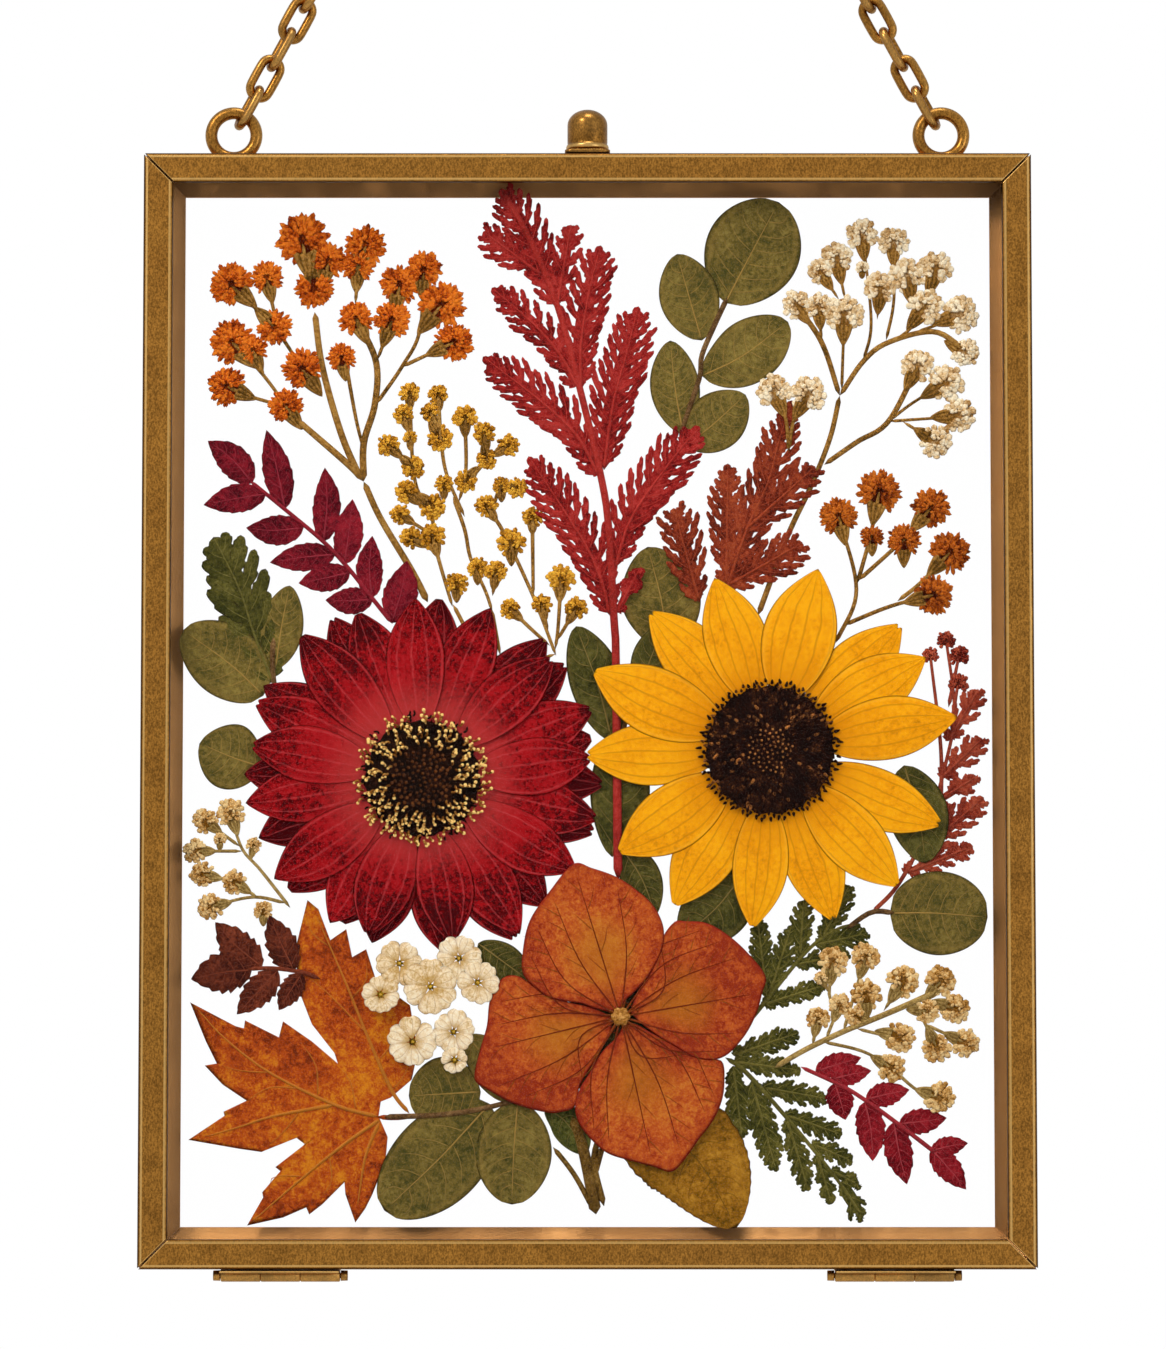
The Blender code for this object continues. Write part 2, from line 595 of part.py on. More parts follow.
CREAM_LOW_HEADS = [
    (833, 964, 16), (820, 982, 7), (866, 960, 15), (866, 997, 16), (840, 1008, 12), (818, 1022, 12), (854, 1021, 11),
    (904, 984, 17), (942, 984, 16), (928, 1016, 13), (956, 1014, 16), (901, 1042, 16), (937, 1054, 15),
    (966, 1048, 15), (892, 1073, 15), (940, 1102, 16),
]
CREAM_LOW_TRUNKS = [[(774, 1072), (805, 1054), (843, 1036), (870, 1025), (901, 1012), (937, 996)]]
CREAM_LOW_TWIGS = [
    [(883, 1016), (904, 984)], [(812, 1050), (818, 1022)], [(825, 1045), (840, 1008)], [(843, 1036), (866, 960)],
    [(836, 1010), (829, 1000), (833, 964)], [(830, 998), (820, 982)], [(856, 1033), (888, 1041)],
    [(905, 1014), (928, 1016)], [(925, 1004), (942, 984)], [(925, 1004), (956, 1014)], [(914, 1006), (937, 1054)],
    [(923, 1028), (966, 1048)], [(822, 1046), (863, 1056), (892, 1073)], [(892, 1073), (916, 1094), (940, 1102)],
]
ORANGE_RIGHT_HEADS = [
    (882, 492, 22), (840, 517, 19), (874, 539, 12), (906, 542, 17), (935, 509, 20), (954, 554, 21), (938, 598, 20),
]
ORANGE_RIGHT_STEMS = [
    [(837, 647), (858, 594), (840, 517)], [(859, 587), (872, 540), (882, 492)], [(860, 584), (906, 542), (935, 509)],
    [(845, 629), (892, 610), (938, 598)], [(899, 605), (922, 587), (954, 554)],
]
CRIMSON_RACHIS = [
    (500, 187), (528, 236), (557, 306), (581, 395), (602, 484), (609, 534), (614, 622), (616, 662), (618, 886),
]
CRIMSON_FRONDS = [
    ([(557, 306), (528, 236), (500, 187)], 45, 5), ([(541, 275), (482, 231)], 33, 3),
    ([(578, 390), (561, 358), (535, 327), (491, 288)], 35, 5),
    ([(600, 481), (578, 440), (546, 408), (482, 358)], 45, 6),
    ([(610, 620), (602, 586), (587, 551), (568, 520), (528, 459)], 48, 7), ([(557, 306), (571, 224)], 30, 3),
    ([(581, 392), (581, 345), (589, 293), (601, 245)], 45, 6),
    ([(604, 473), (613, 408), (626, 358), (639, 307)], 50, 6),
    ([(615, 572), (633, 519), (677, 457), (701, 429)], 50, 6), ([(616, 618), (640, 572)], 20, 2),
]
RUST_FRONDS = [
    ([(700, 606), (674, 511)], 41, 4), ([(727, 590), (729, 466)], 34, 5),
    ([(725, 600), (748, 532), (769, 486), (780, 445), (794, 402)], 42, 7), ([(743, 536), (817, 469)], 38, 4),
    ([(727, 590), (804, 546)], 40, 4),
]
EDGE_FERN_STEMS = [
    [(872, 918), (899, 889), (927, 835), (948, 764), (956, 713), (948, 643)], [(942, 812), (942, 751), (932, 659)],
    [(950, 712), (961, 659)], [(952, 735), (960, 686)],
]
EDGE_FERN_FRONDS = [
    ([(950, 745), (980, 694)], 24, 2), ([(942, 783), (984, 743)], 26, 2), ([(934, 809), (978, 781)], 20, 2),
    ([(912, 864), (985, 802)], 30, 3), ([(905, 878), (974, 851)], 22, 2), ([(930, 855), (951, 808)], 16, 2),
]
EDGE_FERN_HEADS = [(948, 643, 10), (932, 659, 9), (961, 659, 11), (960, 686, 11)]
GREEN_FERN_STEM = [(725, 1062), (745, 1076), (789, 1125), (834, 1180), (860, 1218)]
GREEN_FERN_FRONDS = [
    ([(733, 1070), (742, 1143)], 29, 3), ([(751, 1085), (776, 1176)], 29, 4), ([(786, 1121), (808, 1195)], 24, 3),
    ([(816, 1157), (831, 1208)], 18, 2), ([(733, 1066), (801, 1075)], 22, 3), ([(762, 1092), (827, 1103)], 26, 3),
    ([(785, 1119), (842, 1139)], 24, 3), ([(811, 1148), (852, 1165)], 20, 2), ([(831, 1174), (858, 1189)], 16, 1),
    ([(840, 1186), (862, 1221)], 24, 2), ([(733, 1060), (799, 1037)], 24, 3),
]
UPPER_FERN_STEM = [(745, 1030), (759, 1014), (807, 956), (838, 934), (861, 929)]
UPPER_FERN_FRONDS = [
    ([(762, 1010), (827, 989)], 20, 3), ([(768, 1004), (792, 930)], 24, 3), ([(800, 962), (804, 905)], 24, 3),
    ([(795, 970), (850, 958)], 22, 3), ([(815, 950), (868, 938)], 26, 3), ([(822, 944), (850, 890)], 26, 3),
    ([(767, 1000), (757, 920)], 24, 3),
]
MAROON_STEM = [(247, 483), (285, 514), (323, 546), (348, 573), (371, 602), (392, 628)]
MAROON_LEAVES = [
    ((250, 486), (205, 443), 29), ((264, 497), (201, 508), 27), ((283, 512), (264, 432), 27),
    ((302, 531), (244, 531), 28), ((322, 545), (323, 470), 26), ((343, 568), (351, 502), 27),
    ((334, 558), (268, 566), 26), ((349, 576), (297, 587), 26), ((372, 603), (324, 604), 25),
    ((371, 602), (371, 539), 25), ((391, 627), (406, 564), 32),
]
MAROON_LOW_STEM = [(800, 1071), (843, 1091), (870, 1108), (896, 1127), (930, 1153), (936, 1158)]
MAROON_LOW_LEAVES = [
    ((815, 1076), (861, 1062), 22), ((830, 1084), (871, 1075), 20), ((834, 1087), (845, 1124), 26),
    ((865, 1104), (909, 1094), 23), ((864, 1106), (872, 1165), 28), ((893, 1126), (906, 1188), 27),
    ((898, 1128), (946, 1122), 24), ((930, 1155), (967, 1147), 19), ((930, 1153), (965, 1193), 24),
]
BROWN_STEM = [(246, 974), (272, 973), (302, 977), (321, 984)]
BROWN_LEAVES = [
    ((262, 972), (215, 927), 33), ((294, 976), (269, 920), 31), ((252, 975), (191, 984), 40),
    ((278, 975), (237, 1019), 29), ((302, 978), (279, 1015), 23),
]
MAPLE_OUTLINE = [
    (190, 1007), (225, 1028), (244, 1033), (245, 1025), (279, 1042), (283, 1026), (312, 1046), (338, 1068),
    (334, 1056), (312, 1029), (297, 991), (296, 950), (307, 905), (318, 914), (330, 945), (346, 934), (352, 962),
    (366, 954), (376, 985), (410, 1010), (418, 1055), (412, 1084), (391, 1102), (381, 1106), (379, 1120),
    (412, 1118), (412, 1123), (381, 1125), (388, 1141), (386, 1165), (373, 1198), (366, 1212), (356, 1226),
    (346, 1198), (345, 1186), (323, 1208), (310, 1218), (307, 1211), (284, 1221), (248, 1229), (264, 1201),
    (263, 1196), (281, 1175), (276, 1171), (299, 1155), (305, 1148), (297, 1142), (262, 1156), (241, 1153),
    (189, 1144), (225, 1120), (224, 1116), (247, 1105), (223, 1089), (205, 1070), (217, 1068), (206, 1046),
]
FLORETS = [
    (400, 968, 23), (381, 999, 19), (431, 991, 28), (459, 963, 23), (478, 987, 21), (413, 1046, 25),
    (454, 1036, 22), (455, 1064, 13),
]
FLORET_STEMS = [[(381, 999), (413, 1019), (440, 1040)], [(431, 991), (425, 1030)], [(400, 968), (431, 991)]]
STEM_BUNDLE = [
    ([(572, 1120), (580, 1141), (588, 1175), (596, 1218)], 11), ([(553, 1151), (574, 1178), (593, 1212)], 5),
    ([(599, 1140), (594, 1167), (604, 1210)], 6), ([(603, 1148), (594, 1180)], 6),
]
CREAM_PAIR = [(775, 391, 18), (811, 394, 19)]
STEM_LEAF_OUTLINE = [(541, 1118), (575, 1112), (586, 1137), (579, 1155), (560, 1137)]
OLIVE_OUTLINE = [
    (604, 1150), (632, 1177), (664, 1193), (680, 1201), (693, 1207), (707, 1214), (735, 1231), (737, 1207),
    (737, 1180), (733, 1152), (723, 1116), (700, 1085), (640, 1100),
]
# Each single leaf as its layer, its line from base to tip, and its width.
SINGLE_LEAVES = {
    "leaf_lower_left": (0, [(262, 772), (198, 748)], 62),
    "leaf_above_gerbera": (0, [(612, 745), (598, 690), (576, 630)], 50),
    "leaf_above_centre": (0, [(668, 655), (648, 550)], 74),
    "leaf_right": (1, [(905, 770), (926, 868)], 56),
    "leaf_under_sunflower": (1, [(748, 872), (680, 944)], 62),
    "leaf_beside_hydrangea": (1, [(478, 948), (530, 986)], 34),
}


def big_flowers():
    front_widths = [57] * len(GERBERA_FRONT_TIPS)
    pressed("gerbera_back_petals", 2, CRIMSON, petals(GERBERA, 40, GERBERA_BACK_TIPS, [52] * len(GERBERA_BACK_TIPS)))
    pressed("gerbera_front_petals", 3, CRIMSON, petals(GERBERA, 40, GERBERA_FRONT_TIPS, front_widths))
    seed_disc("gerbera_disc", GERBERA, 64, 4, SEED, 0.45)
    pressed("sunflower_petals", 4, YELLOW, petals(SUNFLOWER, 45, SUNFLOWER_TIPS, [68] * len(SUNFLOWER_TIPS)))
    seed_disc("sunflower_disc", SUNFLOWER, 71, 5, SEED, 0.8)
    sepals = [
        blade([HYDRANGEA, tip], width, 0.5, 0.5, 6) for tip, width in zip(HYDRANGEA_TIPS, HYDRANGEA_WIDTHS)
    ]
    pressed("hydrangea_floret", 4, BURNT_ORANGE, sepals + [disc(*HYDRANGEA, 12, 8)])


def sprays():
    pressed(
        "orange_spray_left", 0, ORANGE,
        heads(ORANGE_LEFT_HEADS) + stems(ORANGE_LEFT_TRUNKS, 7) + stems(ORANGE_LEFT_TWIGS, 4),
    )
    pressed("orange_spray_right", 0, ORANGE, heads(ORANGE_RIGHT_HEADS, 8) + stems(ORANGE_RIGHT_STEMS, 5))
    pressed("goldenrod_spray", 1, GOLD, heads(GOLDENROD_HEADS, 6) + stems(GOLDENROD_STEMS, 3.5))
    pressed(
        "cream_spray_top", 0, CREAM,
        heads(CREAM_TOP_HEADS) + stems(CREAM_TOP_TRUNKS, 5) + stems(CREAM_TOP_TWIGS, 3.5),
    )
    pair_stems = [[(775, 391), (787, 420), (790, 455)], [(811, 394), (796, 420), (790, 455)]]
    pressed("cream_bud_pair", 2, CREAM, heads(CREAM_PAIR, 9) + stems(pair_stems, 4))
    pressed("cream_spray_left", 0, CREAM, heads(CREAM_LEFT_HEADS) + stems(CREAM_LEFT_STEMS, 4))
    pressed(
        "cream_spray_low", 2, CREAM,
        heads(CREAM_LOW_HEADS) + stems(CREAM_LOW_TRUNKS, 6) + stems(CREAM_LOW_TWIGS, 3.5),
    )


def ferns():
    def fronds(shapes, depth=0.55):
        return [frond(path, width, lobes, depth) for path, width, lobes in shapes]

    pressed("crimson_fern", 2, CRIMSON, fronds(CRIMSON_FRONDS) + [strip(CRIMSON_RACHIS, 4, 6)])
    rust_stem = strip([(727, 586), (704, 604), (740, 645)], 8)
    pressed("rust_fern", 1, RUST, fronds(RUST_FRONDS) + [rust_stem])
    edge = fronds(EDGE_FERN_FRONDS, 0.4) + stems(EDGE_FERN_STEMS, 5) + heads(EDGE_FERN_HEADS, 6)
    pressed("edge_fern", 0, RUST, edge)
    low = fronds(GREEN_FERN_FRONDS, 0.35) + [strip(GREEN_FERN_STEM, 5, 4)]
    pressed("green_fern_low", 0, GREEN, low)
    pressed("green_fern_upper", 0, GREEN, fronds(UPPER_FERN_FRONDS, 0.35) + [strip(UPPER_FERN_STEM, 5, 4)])


def sprigs():
    def leaves(shapes):
        return [blade([base, tip], width, 0.42, 0.7, 3) for base, tip, width in shapes]

    pressed("maroon_sprig_left", 1, MAROON, leaves(MAROON_LEAVES) + [strip(MAROON_STEM, 3, 5)])
    pressed("maroon_sprig_low", 1, MAROON, leaves(MAROON_LOW_LEAVES) + [strip(MAROON_LOW_STEM, 5, 3)])
    pressed("brown_sprig", 1, BROWN, leaves(BROWN_LEAVES) + [strip(BROWN_STEM, 4)])
    lobed = frond([(272, 688), (253, 630), (237, 592), (211, 540)], 52, 5, 0.5)
    small = blade([(274, 671), (284, 588)], 37)
    round_leaf = blade([(262, 700), (220, 670), (181, 635)], 62, 0.45, 0.55)
    stem = strip([(272, 660), (274, 700)], 6)
    pressed("green_sprig_left", 0, GREEN, [lobed, small, round_leaf, stem])


def eucalyptus():
    top = [
        blade([(730, 299), (781, 195)], 78, 0.5, 0.6, 5), blade([(703, 341), (678, 253)], 54, 0.5, 0.6),
        blade([(701, 374), (790, 324)], 58, 0.5, 0.6), blade([(676, 436), (671, 341)], 44, 0.5, 0.6),
        blade([(686, 442), (747, 396)], 52, 0.5, 0.6),
        strip([(729, 297), (716, 325), (703, 356), (701, 377), (690, 410), (680, 440)], 5),
        strip([(703, 338), (705, 350)], 4),
    ]
    pressed("eucalyptus_top", 0, GREEN, top)
    low = [
        blade([(494, 1108), (382, 1214)], 78, 0.5, 0.55, 5), blade([(518, 1101), (510, 1208)], 74, 0.5, 0.55, 5),
        disc(445, 1098, 36, 12), blade([(466, 1040), (508, 1106)], 42, 0.5, 0.7),
        strip([(384, 1121), (440, 1119), (486, 1112), (530, 1100)], 6),
    ]
    pressed("eucalyptus_low", 1, GREEN, low)
    right = [blade([(892, 918), (987, 922)], 82, 0.5, 0.5, 5), strip([(896, 918), (872, 917), (846, 934)], 5)]
    pressed("eucalyptus_right", 1, GREEN, right)


def single_leaves():
    for name, (layer, line, width) in SINGLE_LEAVES.items():
        pressed(name, layer, GREEN, [blade(line, width, 0.5, 0.7, 5)])
    between = [
        blade([(612, 862), (618, 728)], 54, 0.5, 0.7, 5), blade([(616, 846), (656, 918)], 36),
        blade([(637, 697), (664, 626)], 34),
    ]
    pressed("leaves_between", 1, GREEN, between + [strip([(640, 692), (622, 740)], 5)])
    pressed("olive_leaf", 1, GREEN, [np.array(OLIVE_OUTLINE, float)])
    pressed("maple_leaf", 0, MAPLE, [np.array(MAPLE_OUTLINE, float)])


def florets_and_stems():
    pressed("white_florets", 4, CREAM, heads(FLORETS, 9) + stems(FLORET_STEMS, 5))
    bundle = [strip(line, width) for line, width in STEM_BUNDLE]
    pressed("stem_bundle", 0, STEM, bundle + [np.array(STEM_LEAF_OUTLINE, float)])


for old in list(bpy.data.objects):
    bpy.data.objects.remove(old)
PARTS = collection("pressed_flower_frame")
HELPERS = collection("cutters")
HELPERS.hide_render = True
BACK_HALF = group_empty("back_half", (0, 0, -HANG_DROP))
FRONT_HALF = group_empty("front_half", (0, PARTING_Y, BARREL_Z), BACK_HALF)
CAP = group_empty("cap_axis", (0, POST_Y, CAP_Z), BACK_HALF)

frame_bars()
panes()
for end, at in (("left", -EYELET_X), ("right", EYELET_X)):
    eyelet(f"eyelet_{end}", at)
    chain_strand(f"chain_{end}", math.copysign(1, at))
ring = torus_mesh("hang_ring", HANG_RING_D, RING_WIRE, (0, 0, RING_Z), 12)
add("hang_ring", ring, BRASS, BACK_HALF)
closing_cap()
latch()
hinges()
big_flowers()
sprays()
ferns()
sprigs()
eucalyptus()
single_leaves()
florets_and_stems()
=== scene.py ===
"""Pressed flower frame: dried flowers, leaves and ferns between two panes in a hinged brass frame on a chain.

Run it as a script. Everything is in metres in the frame's own axes: +Z up, the flowers face -Y, and the origin is
the point inside the top of the hang ring. Places in the bouquet are read in pixels of the reference view.
"""

import math

import bmesh
import bpy
import numpy as np
from mathutils import Matrix, Vector


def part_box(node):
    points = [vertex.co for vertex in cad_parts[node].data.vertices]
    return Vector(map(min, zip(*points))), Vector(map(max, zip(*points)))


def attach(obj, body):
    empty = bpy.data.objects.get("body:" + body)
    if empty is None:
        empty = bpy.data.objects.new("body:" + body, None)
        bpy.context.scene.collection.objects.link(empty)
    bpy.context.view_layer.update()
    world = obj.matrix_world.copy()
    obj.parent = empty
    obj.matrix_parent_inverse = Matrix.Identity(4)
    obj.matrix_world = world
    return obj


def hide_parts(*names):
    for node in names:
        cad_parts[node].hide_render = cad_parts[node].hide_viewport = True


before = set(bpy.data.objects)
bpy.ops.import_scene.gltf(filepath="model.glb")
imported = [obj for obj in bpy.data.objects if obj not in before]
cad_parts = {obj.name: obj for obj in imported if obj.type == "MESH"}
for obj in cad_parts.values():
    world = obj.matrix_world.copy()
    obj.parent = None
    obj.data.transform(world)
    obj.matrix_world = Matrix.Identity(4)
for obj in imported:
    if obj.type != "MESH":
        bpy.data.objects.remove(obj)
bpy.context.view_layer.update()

bl_info = {
    "name": "Pressed flower frame",
    "version": (1, 0, 0),
    "blender": (4, 5, 0),
    "location": "View3D > Sidebar > Pressed Flowers",
    "description": "Builds a bouquet of pressed flowers in a hinged brass and glass frame",
    "category": "Object",
}

MM = 0.001
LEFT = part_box("back_bar_left")[0][0]
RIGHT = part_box("back_bar_right")[1][0]
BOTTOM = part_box("back_bar_bottom")[0][2]
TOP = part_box("back_bar_top")[1][2]
FRONT_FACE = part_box("front_bar_top")[0][1]
BACK_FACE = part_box("back_bar_top")[1][1]

# The reference view shows the frame 1115 pixels tall, with its lower edge at y 1270 and its middle at x 587.5.
PIXEL = (TOP - BOTTOM) / 1115
VIEW_MIDDLE = 587.5
VIEW_FLOOR = 1270
VIEW_SIZE = (1166, 1349)


def linear(colour):
    """An sRGB hex colour as linear red, green, blue and alpha."""
    channels = np.array([int(colour[i : i + 2], 16) / 255 for i in (1, 3, 5)])
    low = channels / 12.92
    high = ((channels + 0.055) / 1.055) ** 2.4
    return (*np.where(channels <= 0.04045, low, high).tolist(), 1.0)


def turns(count):
    """That many equal steps round a whole turn."""
    return np.linspace(0, math.tau, count, endpoint=False)


def polar(centre, radius, angle):
    """The view pixel at this radius and angle from a centre."""
    return (centre[0] + radius * math.cos(angle), centre[1] + radius * math.sin(angle))


def colour(name, default, description):
    return bpy.props.FloatVectorProperty(
        name=name, description=description, default=linear(default)[:3], min=0, max=1, size=3, subtype="COLOR"
    )


def length(name, default, description):
    return bpy.props.FloatProperty(
        name=name, description=description, default=default, min=0, subtype="DISTANCE", unit="LENGTH", precision=5
    )


# Nodes and materials.


def put(tree, kind, inputs=None, **settings):
    """Adds a node with its settings. inputs maps a socket to a value, or to the output that is linked to it."""
    node = tree.nodes.new(kind)
    for name, value in settings.items():
        setattr(node, name, value)
    for socket, value in (inputs or {}).items():
        if isinstance(value, bpy.types.NodeSocket):
            tree.links.new(value, node.inputs[socket])
        else:
            node.inputs[socket].default_value = value
    return node


def empty_material(name):
    """A new material with an empty tree and its output."""
    made = bpy.data.materials.new(name)
    made.use_nodes = True
    made.node_tree.nodes.clear()
    return made, made.node_tree, put(made.node_tree, "ShaderNodeOutputMaterial")


def rgba(value):
    """A colour as four numbers, from an sRGB hex colour or from three linear numbers."""
    return linear(value) if isinstance(value, str) else (*tuple(value)[:3], 1.0)


def maths(tree, operation, *values, **settings):
    """A math node's result."""
    return put(tree, "ShaderNodeMath", dict(enumerate(values)), operation=operation, **settings).outputs[0]


def span(tree, value, low, high, start=0.0, end=1.0, **settings):
    """A value whose range from low to high is mapped to the range from start to end."""
    inputs = {"Value": value, "From Min": low, "From Max": high, "To Min": start, "To Max": end}
    return put(tree, "ShaderNodeMapRange", inputs, **settings).outputs[0]


def mix(tree, factor, first, second, **settings):
    """The first colour, and the second one over it by factor."""
    inputs = {"Factor": factor, 6: first, 7: second}
    return put(tree, "ShaderNodeMix", inputs, data_type="RGBA", **settings).outputs[2]


def noise(tree, where, scale, detail, roughness=0.5, distortion=0.0):
    """A noise texture's value, from 0 to 1."""
    inputs = {"Vector": where, "Scale": scale, "Detail": detail, "Roughness": roughness, "Distortion": distortion}
    return put(tree, "ShaderNodeTexNoise", inputs).outputs["Fac"]


def attribute(tree, name):
    """A value that add_piece gave the points."""
    return put(tree, "ShaderNodeAttribute", attribute_name=name).outputs["Fac"]


def surfaced(made, output, height, strength, distance, surface):
    """Gives a material a principled surface with bumps of this height."""
    tree = made.node_tree
    bump = put(tree, "ShaderNodeBump", {"Height": height, "Strength": strength, "Distance": distance})
    shader = put(tree, "ShaderNodeBsdfPrincipled", {**surface, "Normal": bump.outputs[0]})
    tree.links.new(shader.outputs[0], output.inputs[0])
    return made


def brass(name, look, roughness, patina_share, grain, patina_and_shade=None):
    """Aged brass, cast or drawn and then brushed: brown patina in patches and low places, a painted highlight where the
    edge attribute is above 0 and painted shade in the patina colour where it is below, with a hammered grain about 0.6
    mm across."""
    made, tree, output = empty_material(name)
    where = put(tree, "ShaderNodeTexCoord").outputs["Object"]
    patina_and_shade = rgba(look.patina_and_shade if patina_and_shade is None else patina_and_shade)
    patches = noise(tree, where, 120, 5, 0.65)
    brushed = put(tree, "ShaderNodeMapping", {"Vector": where, "Rotation": (0, 0.7, 0), "Scale": (1, 1, 0.45)})
    grains = maths(tree, "ADD", noise(tree, where, 2400, 3, 0.6), noise(tree, brushed.outputs[0], 3200, 2))
    shade = mix(tree, span(tree, patches, 0.38, 0.68, 0.0, patina_share), rgba(look.metal), patina_and_shade)
    shade = mix(tree, 1.0, shade, span(tree, grains, 0.8, 1.2, 0.55, 1.3), blend_type="MULTIPLY")
    edge = attribute(tree, "edge")
    # Painted shade in the patina colour where edge is below 0, and a painted highlight in the bright colour where it is
    # above.
    shade = mix(tree, maths(tree, "MULTIPLY", edge, -1.0, use_clamp=True), shade, patina_and_shade)
    shade = mix(tree, maths(tree, "MULTIPLY", edge, 0.75, use_clamp=True), shade, rgba(look.bright))
    rough = span(tree, patches, 0.3, 0.7, roughness - 0.08, roughness + 0.14)
    surface = {"Base Color": shade, "Metallic": 1.0, "Roughness": rough}
    return surfaced(made, output, grains, grain, 0.05 * MM, surface)


def clear_glass(name):
    """Picture glass with a coat against reflections: flat, colourless and polished. Shadow rays pass straight on."""
    made, tree, output = empty_material(name)
    ripple = noise(tree, put(tree, "ShaderNodeTexCoord").outputs["Object"], 12, 1)
    wave = put(tree, "ShaderNodeBump", {"Height": ripple, "Strength": 0.02, "Distance": 0.02 * MM})
    surface = {
        "Base Color": (1, 1, 1, 1), "Roughness": 0.0, "IOR": 1.5, "Transmission Weight": 1.0,
        "Specular Tint": (0.05, 0.05, 0.05, 1), "Normal": wave.outputs[0],
    }
    glass = put(tree, "ShaderNodeBsdfPrincipled", surface)
    passing = put(tree, "ShaderNodeBsdfTransparent")
    shadow = put(tree, "ShaderNodeLightPath").outputs["Is Shadow Ray"]
    mixed = put(tree, "ShaderNodeMixShader", {0: shadow, 1: glass.outputs[0], 2: passing.outputs[0]})
    tree.links.new(mixed.outputs[0], output.inputs[0])
    return made


# A painted shadow: the dark outermost line under the edge of a petal or leaf.
PAINTED_RIM_SHADOW = "#1E0A04"


def dried(
    name, dark, middle, light, vein, base=None, mottle=900, lines=0.0, line_count=5, tip=0.0, rough=0.75, bump=0.35,
    rim=None, stripe=None,
):
    """A pressed plant part, dry and papery: matt cells that dried unevenly, so three tones are mottled through it.

    The piece's UV map runs across (0 to 1) and from base to tip (0 to 1). Its tint attribute shades one petal from
    the next, its vein attribute is 1 on raised veins, and its edge attribute is 1 on the rim band, which takes the rim
    colour, and -1 on the thin outermost line, a painted shadow. lines draws stripes along a petal, and base colours its
    foot.
    """
    made, tree, output = empty_material(name)
    where = put(tree, "ShaderNodeTexCoord").outputs["Object"]
    split = put(tree, "ShaderNodeSeparateXYZ", {0: put(tree, "ShaderNodeUVMap", uv_map="leaf").outputs[0]})
    across, along = split.outputs[0], split.outputs[1]
    cells = noise(tree, where, mottle, 4, 0.62)
    broad = noise(tree, where, mottle / 7, 3, 0.55)
    wrinkles = noise(tree, where, mottle * 1.5, 3, 0.6, 1.6)
    tone = attribute(tree, "tint")
    for spots, low, reach in ((cells, 0.36, 0.24), (broad, 0.35, 0.22), (wrinkles, 0.35, 0.26)):
        tone = maths(tree, "ADD", tone, span(tree, spots, low, 1 - low, -reach, reach))
    tone = maths(tree, "MULTIPLY_ADD", along, tip, tone)
    shade = mix(tree, span(tree, tone, 0.0, 0.5), rgba(dark), rgba(middle))
    shade = mix(tree, span(tree, tone, 0.5, 1.0), shade, rgba(light))
    if base is not None:
        foot = span(tree, along, 0.05, 0.5, 0.8, 0.0, interpolation_type="SMOOTHSTEP")
        shade = mix(tree, foot, shade, rgba(base))
    relief = wrinkles
    if lines:
        drift = maths(tree, "MULTIPLY_ADD", broad, 0.10, across)
        ridge = maths(tree, "COSINE", maths(tree, "MULTIPLY", drift, math.tau * line_count))
        faded = maths(tree, "MULTIPLY", span(tree, ridge, 0.84, 1.0, 0, 2 * lines), cells, use_clamp=True)
        shade = mix(tree, faded, shade, rgba(vein if stripe is None else stripe))
        relief = maths(tree, "MULTIPLY_ADD", ridge, 0.35, relief)
    if rim is not None:
        edge = attribute(tree, "edge")
        # The rim band takes the rim colour, and the outermost line a painted shadow under the edge.
        shade = mix(tree, edge, shade, rgba(rim))
        shade = mix(tree, maths(tree, "MULTIPLY", edge, -0.9, use_clamp=True), shade, rgba(PAINTED_RIM_SHADOW))
    shade = mix(tree, attribute(tree, "vein"), shade, rgba(vein))
    surface = {"Base Color": shade, "Roughness": rough, "Specular IOR Level": 0.03}
    return surfaced(made, output, relief, bump, 0.12 * MM, surface)


# Surfaces: every piece is made of grids of points.


def grid(points, across, along, tint=0.5, vein=0.0, edge=0.0, loop=False):
    """One closed grid of points (rows, columns, 3). Columns always close up, and rows do where loop is true.

    across and along are its UV coordinates. The others are the attributes that its material reads.
    """
    shape = points.shape[:2]
    values = [np.broadcast_to(np.asarray(v, float), shape) for v in (across, along, tint, vein, edge)]
    return points, values, loop


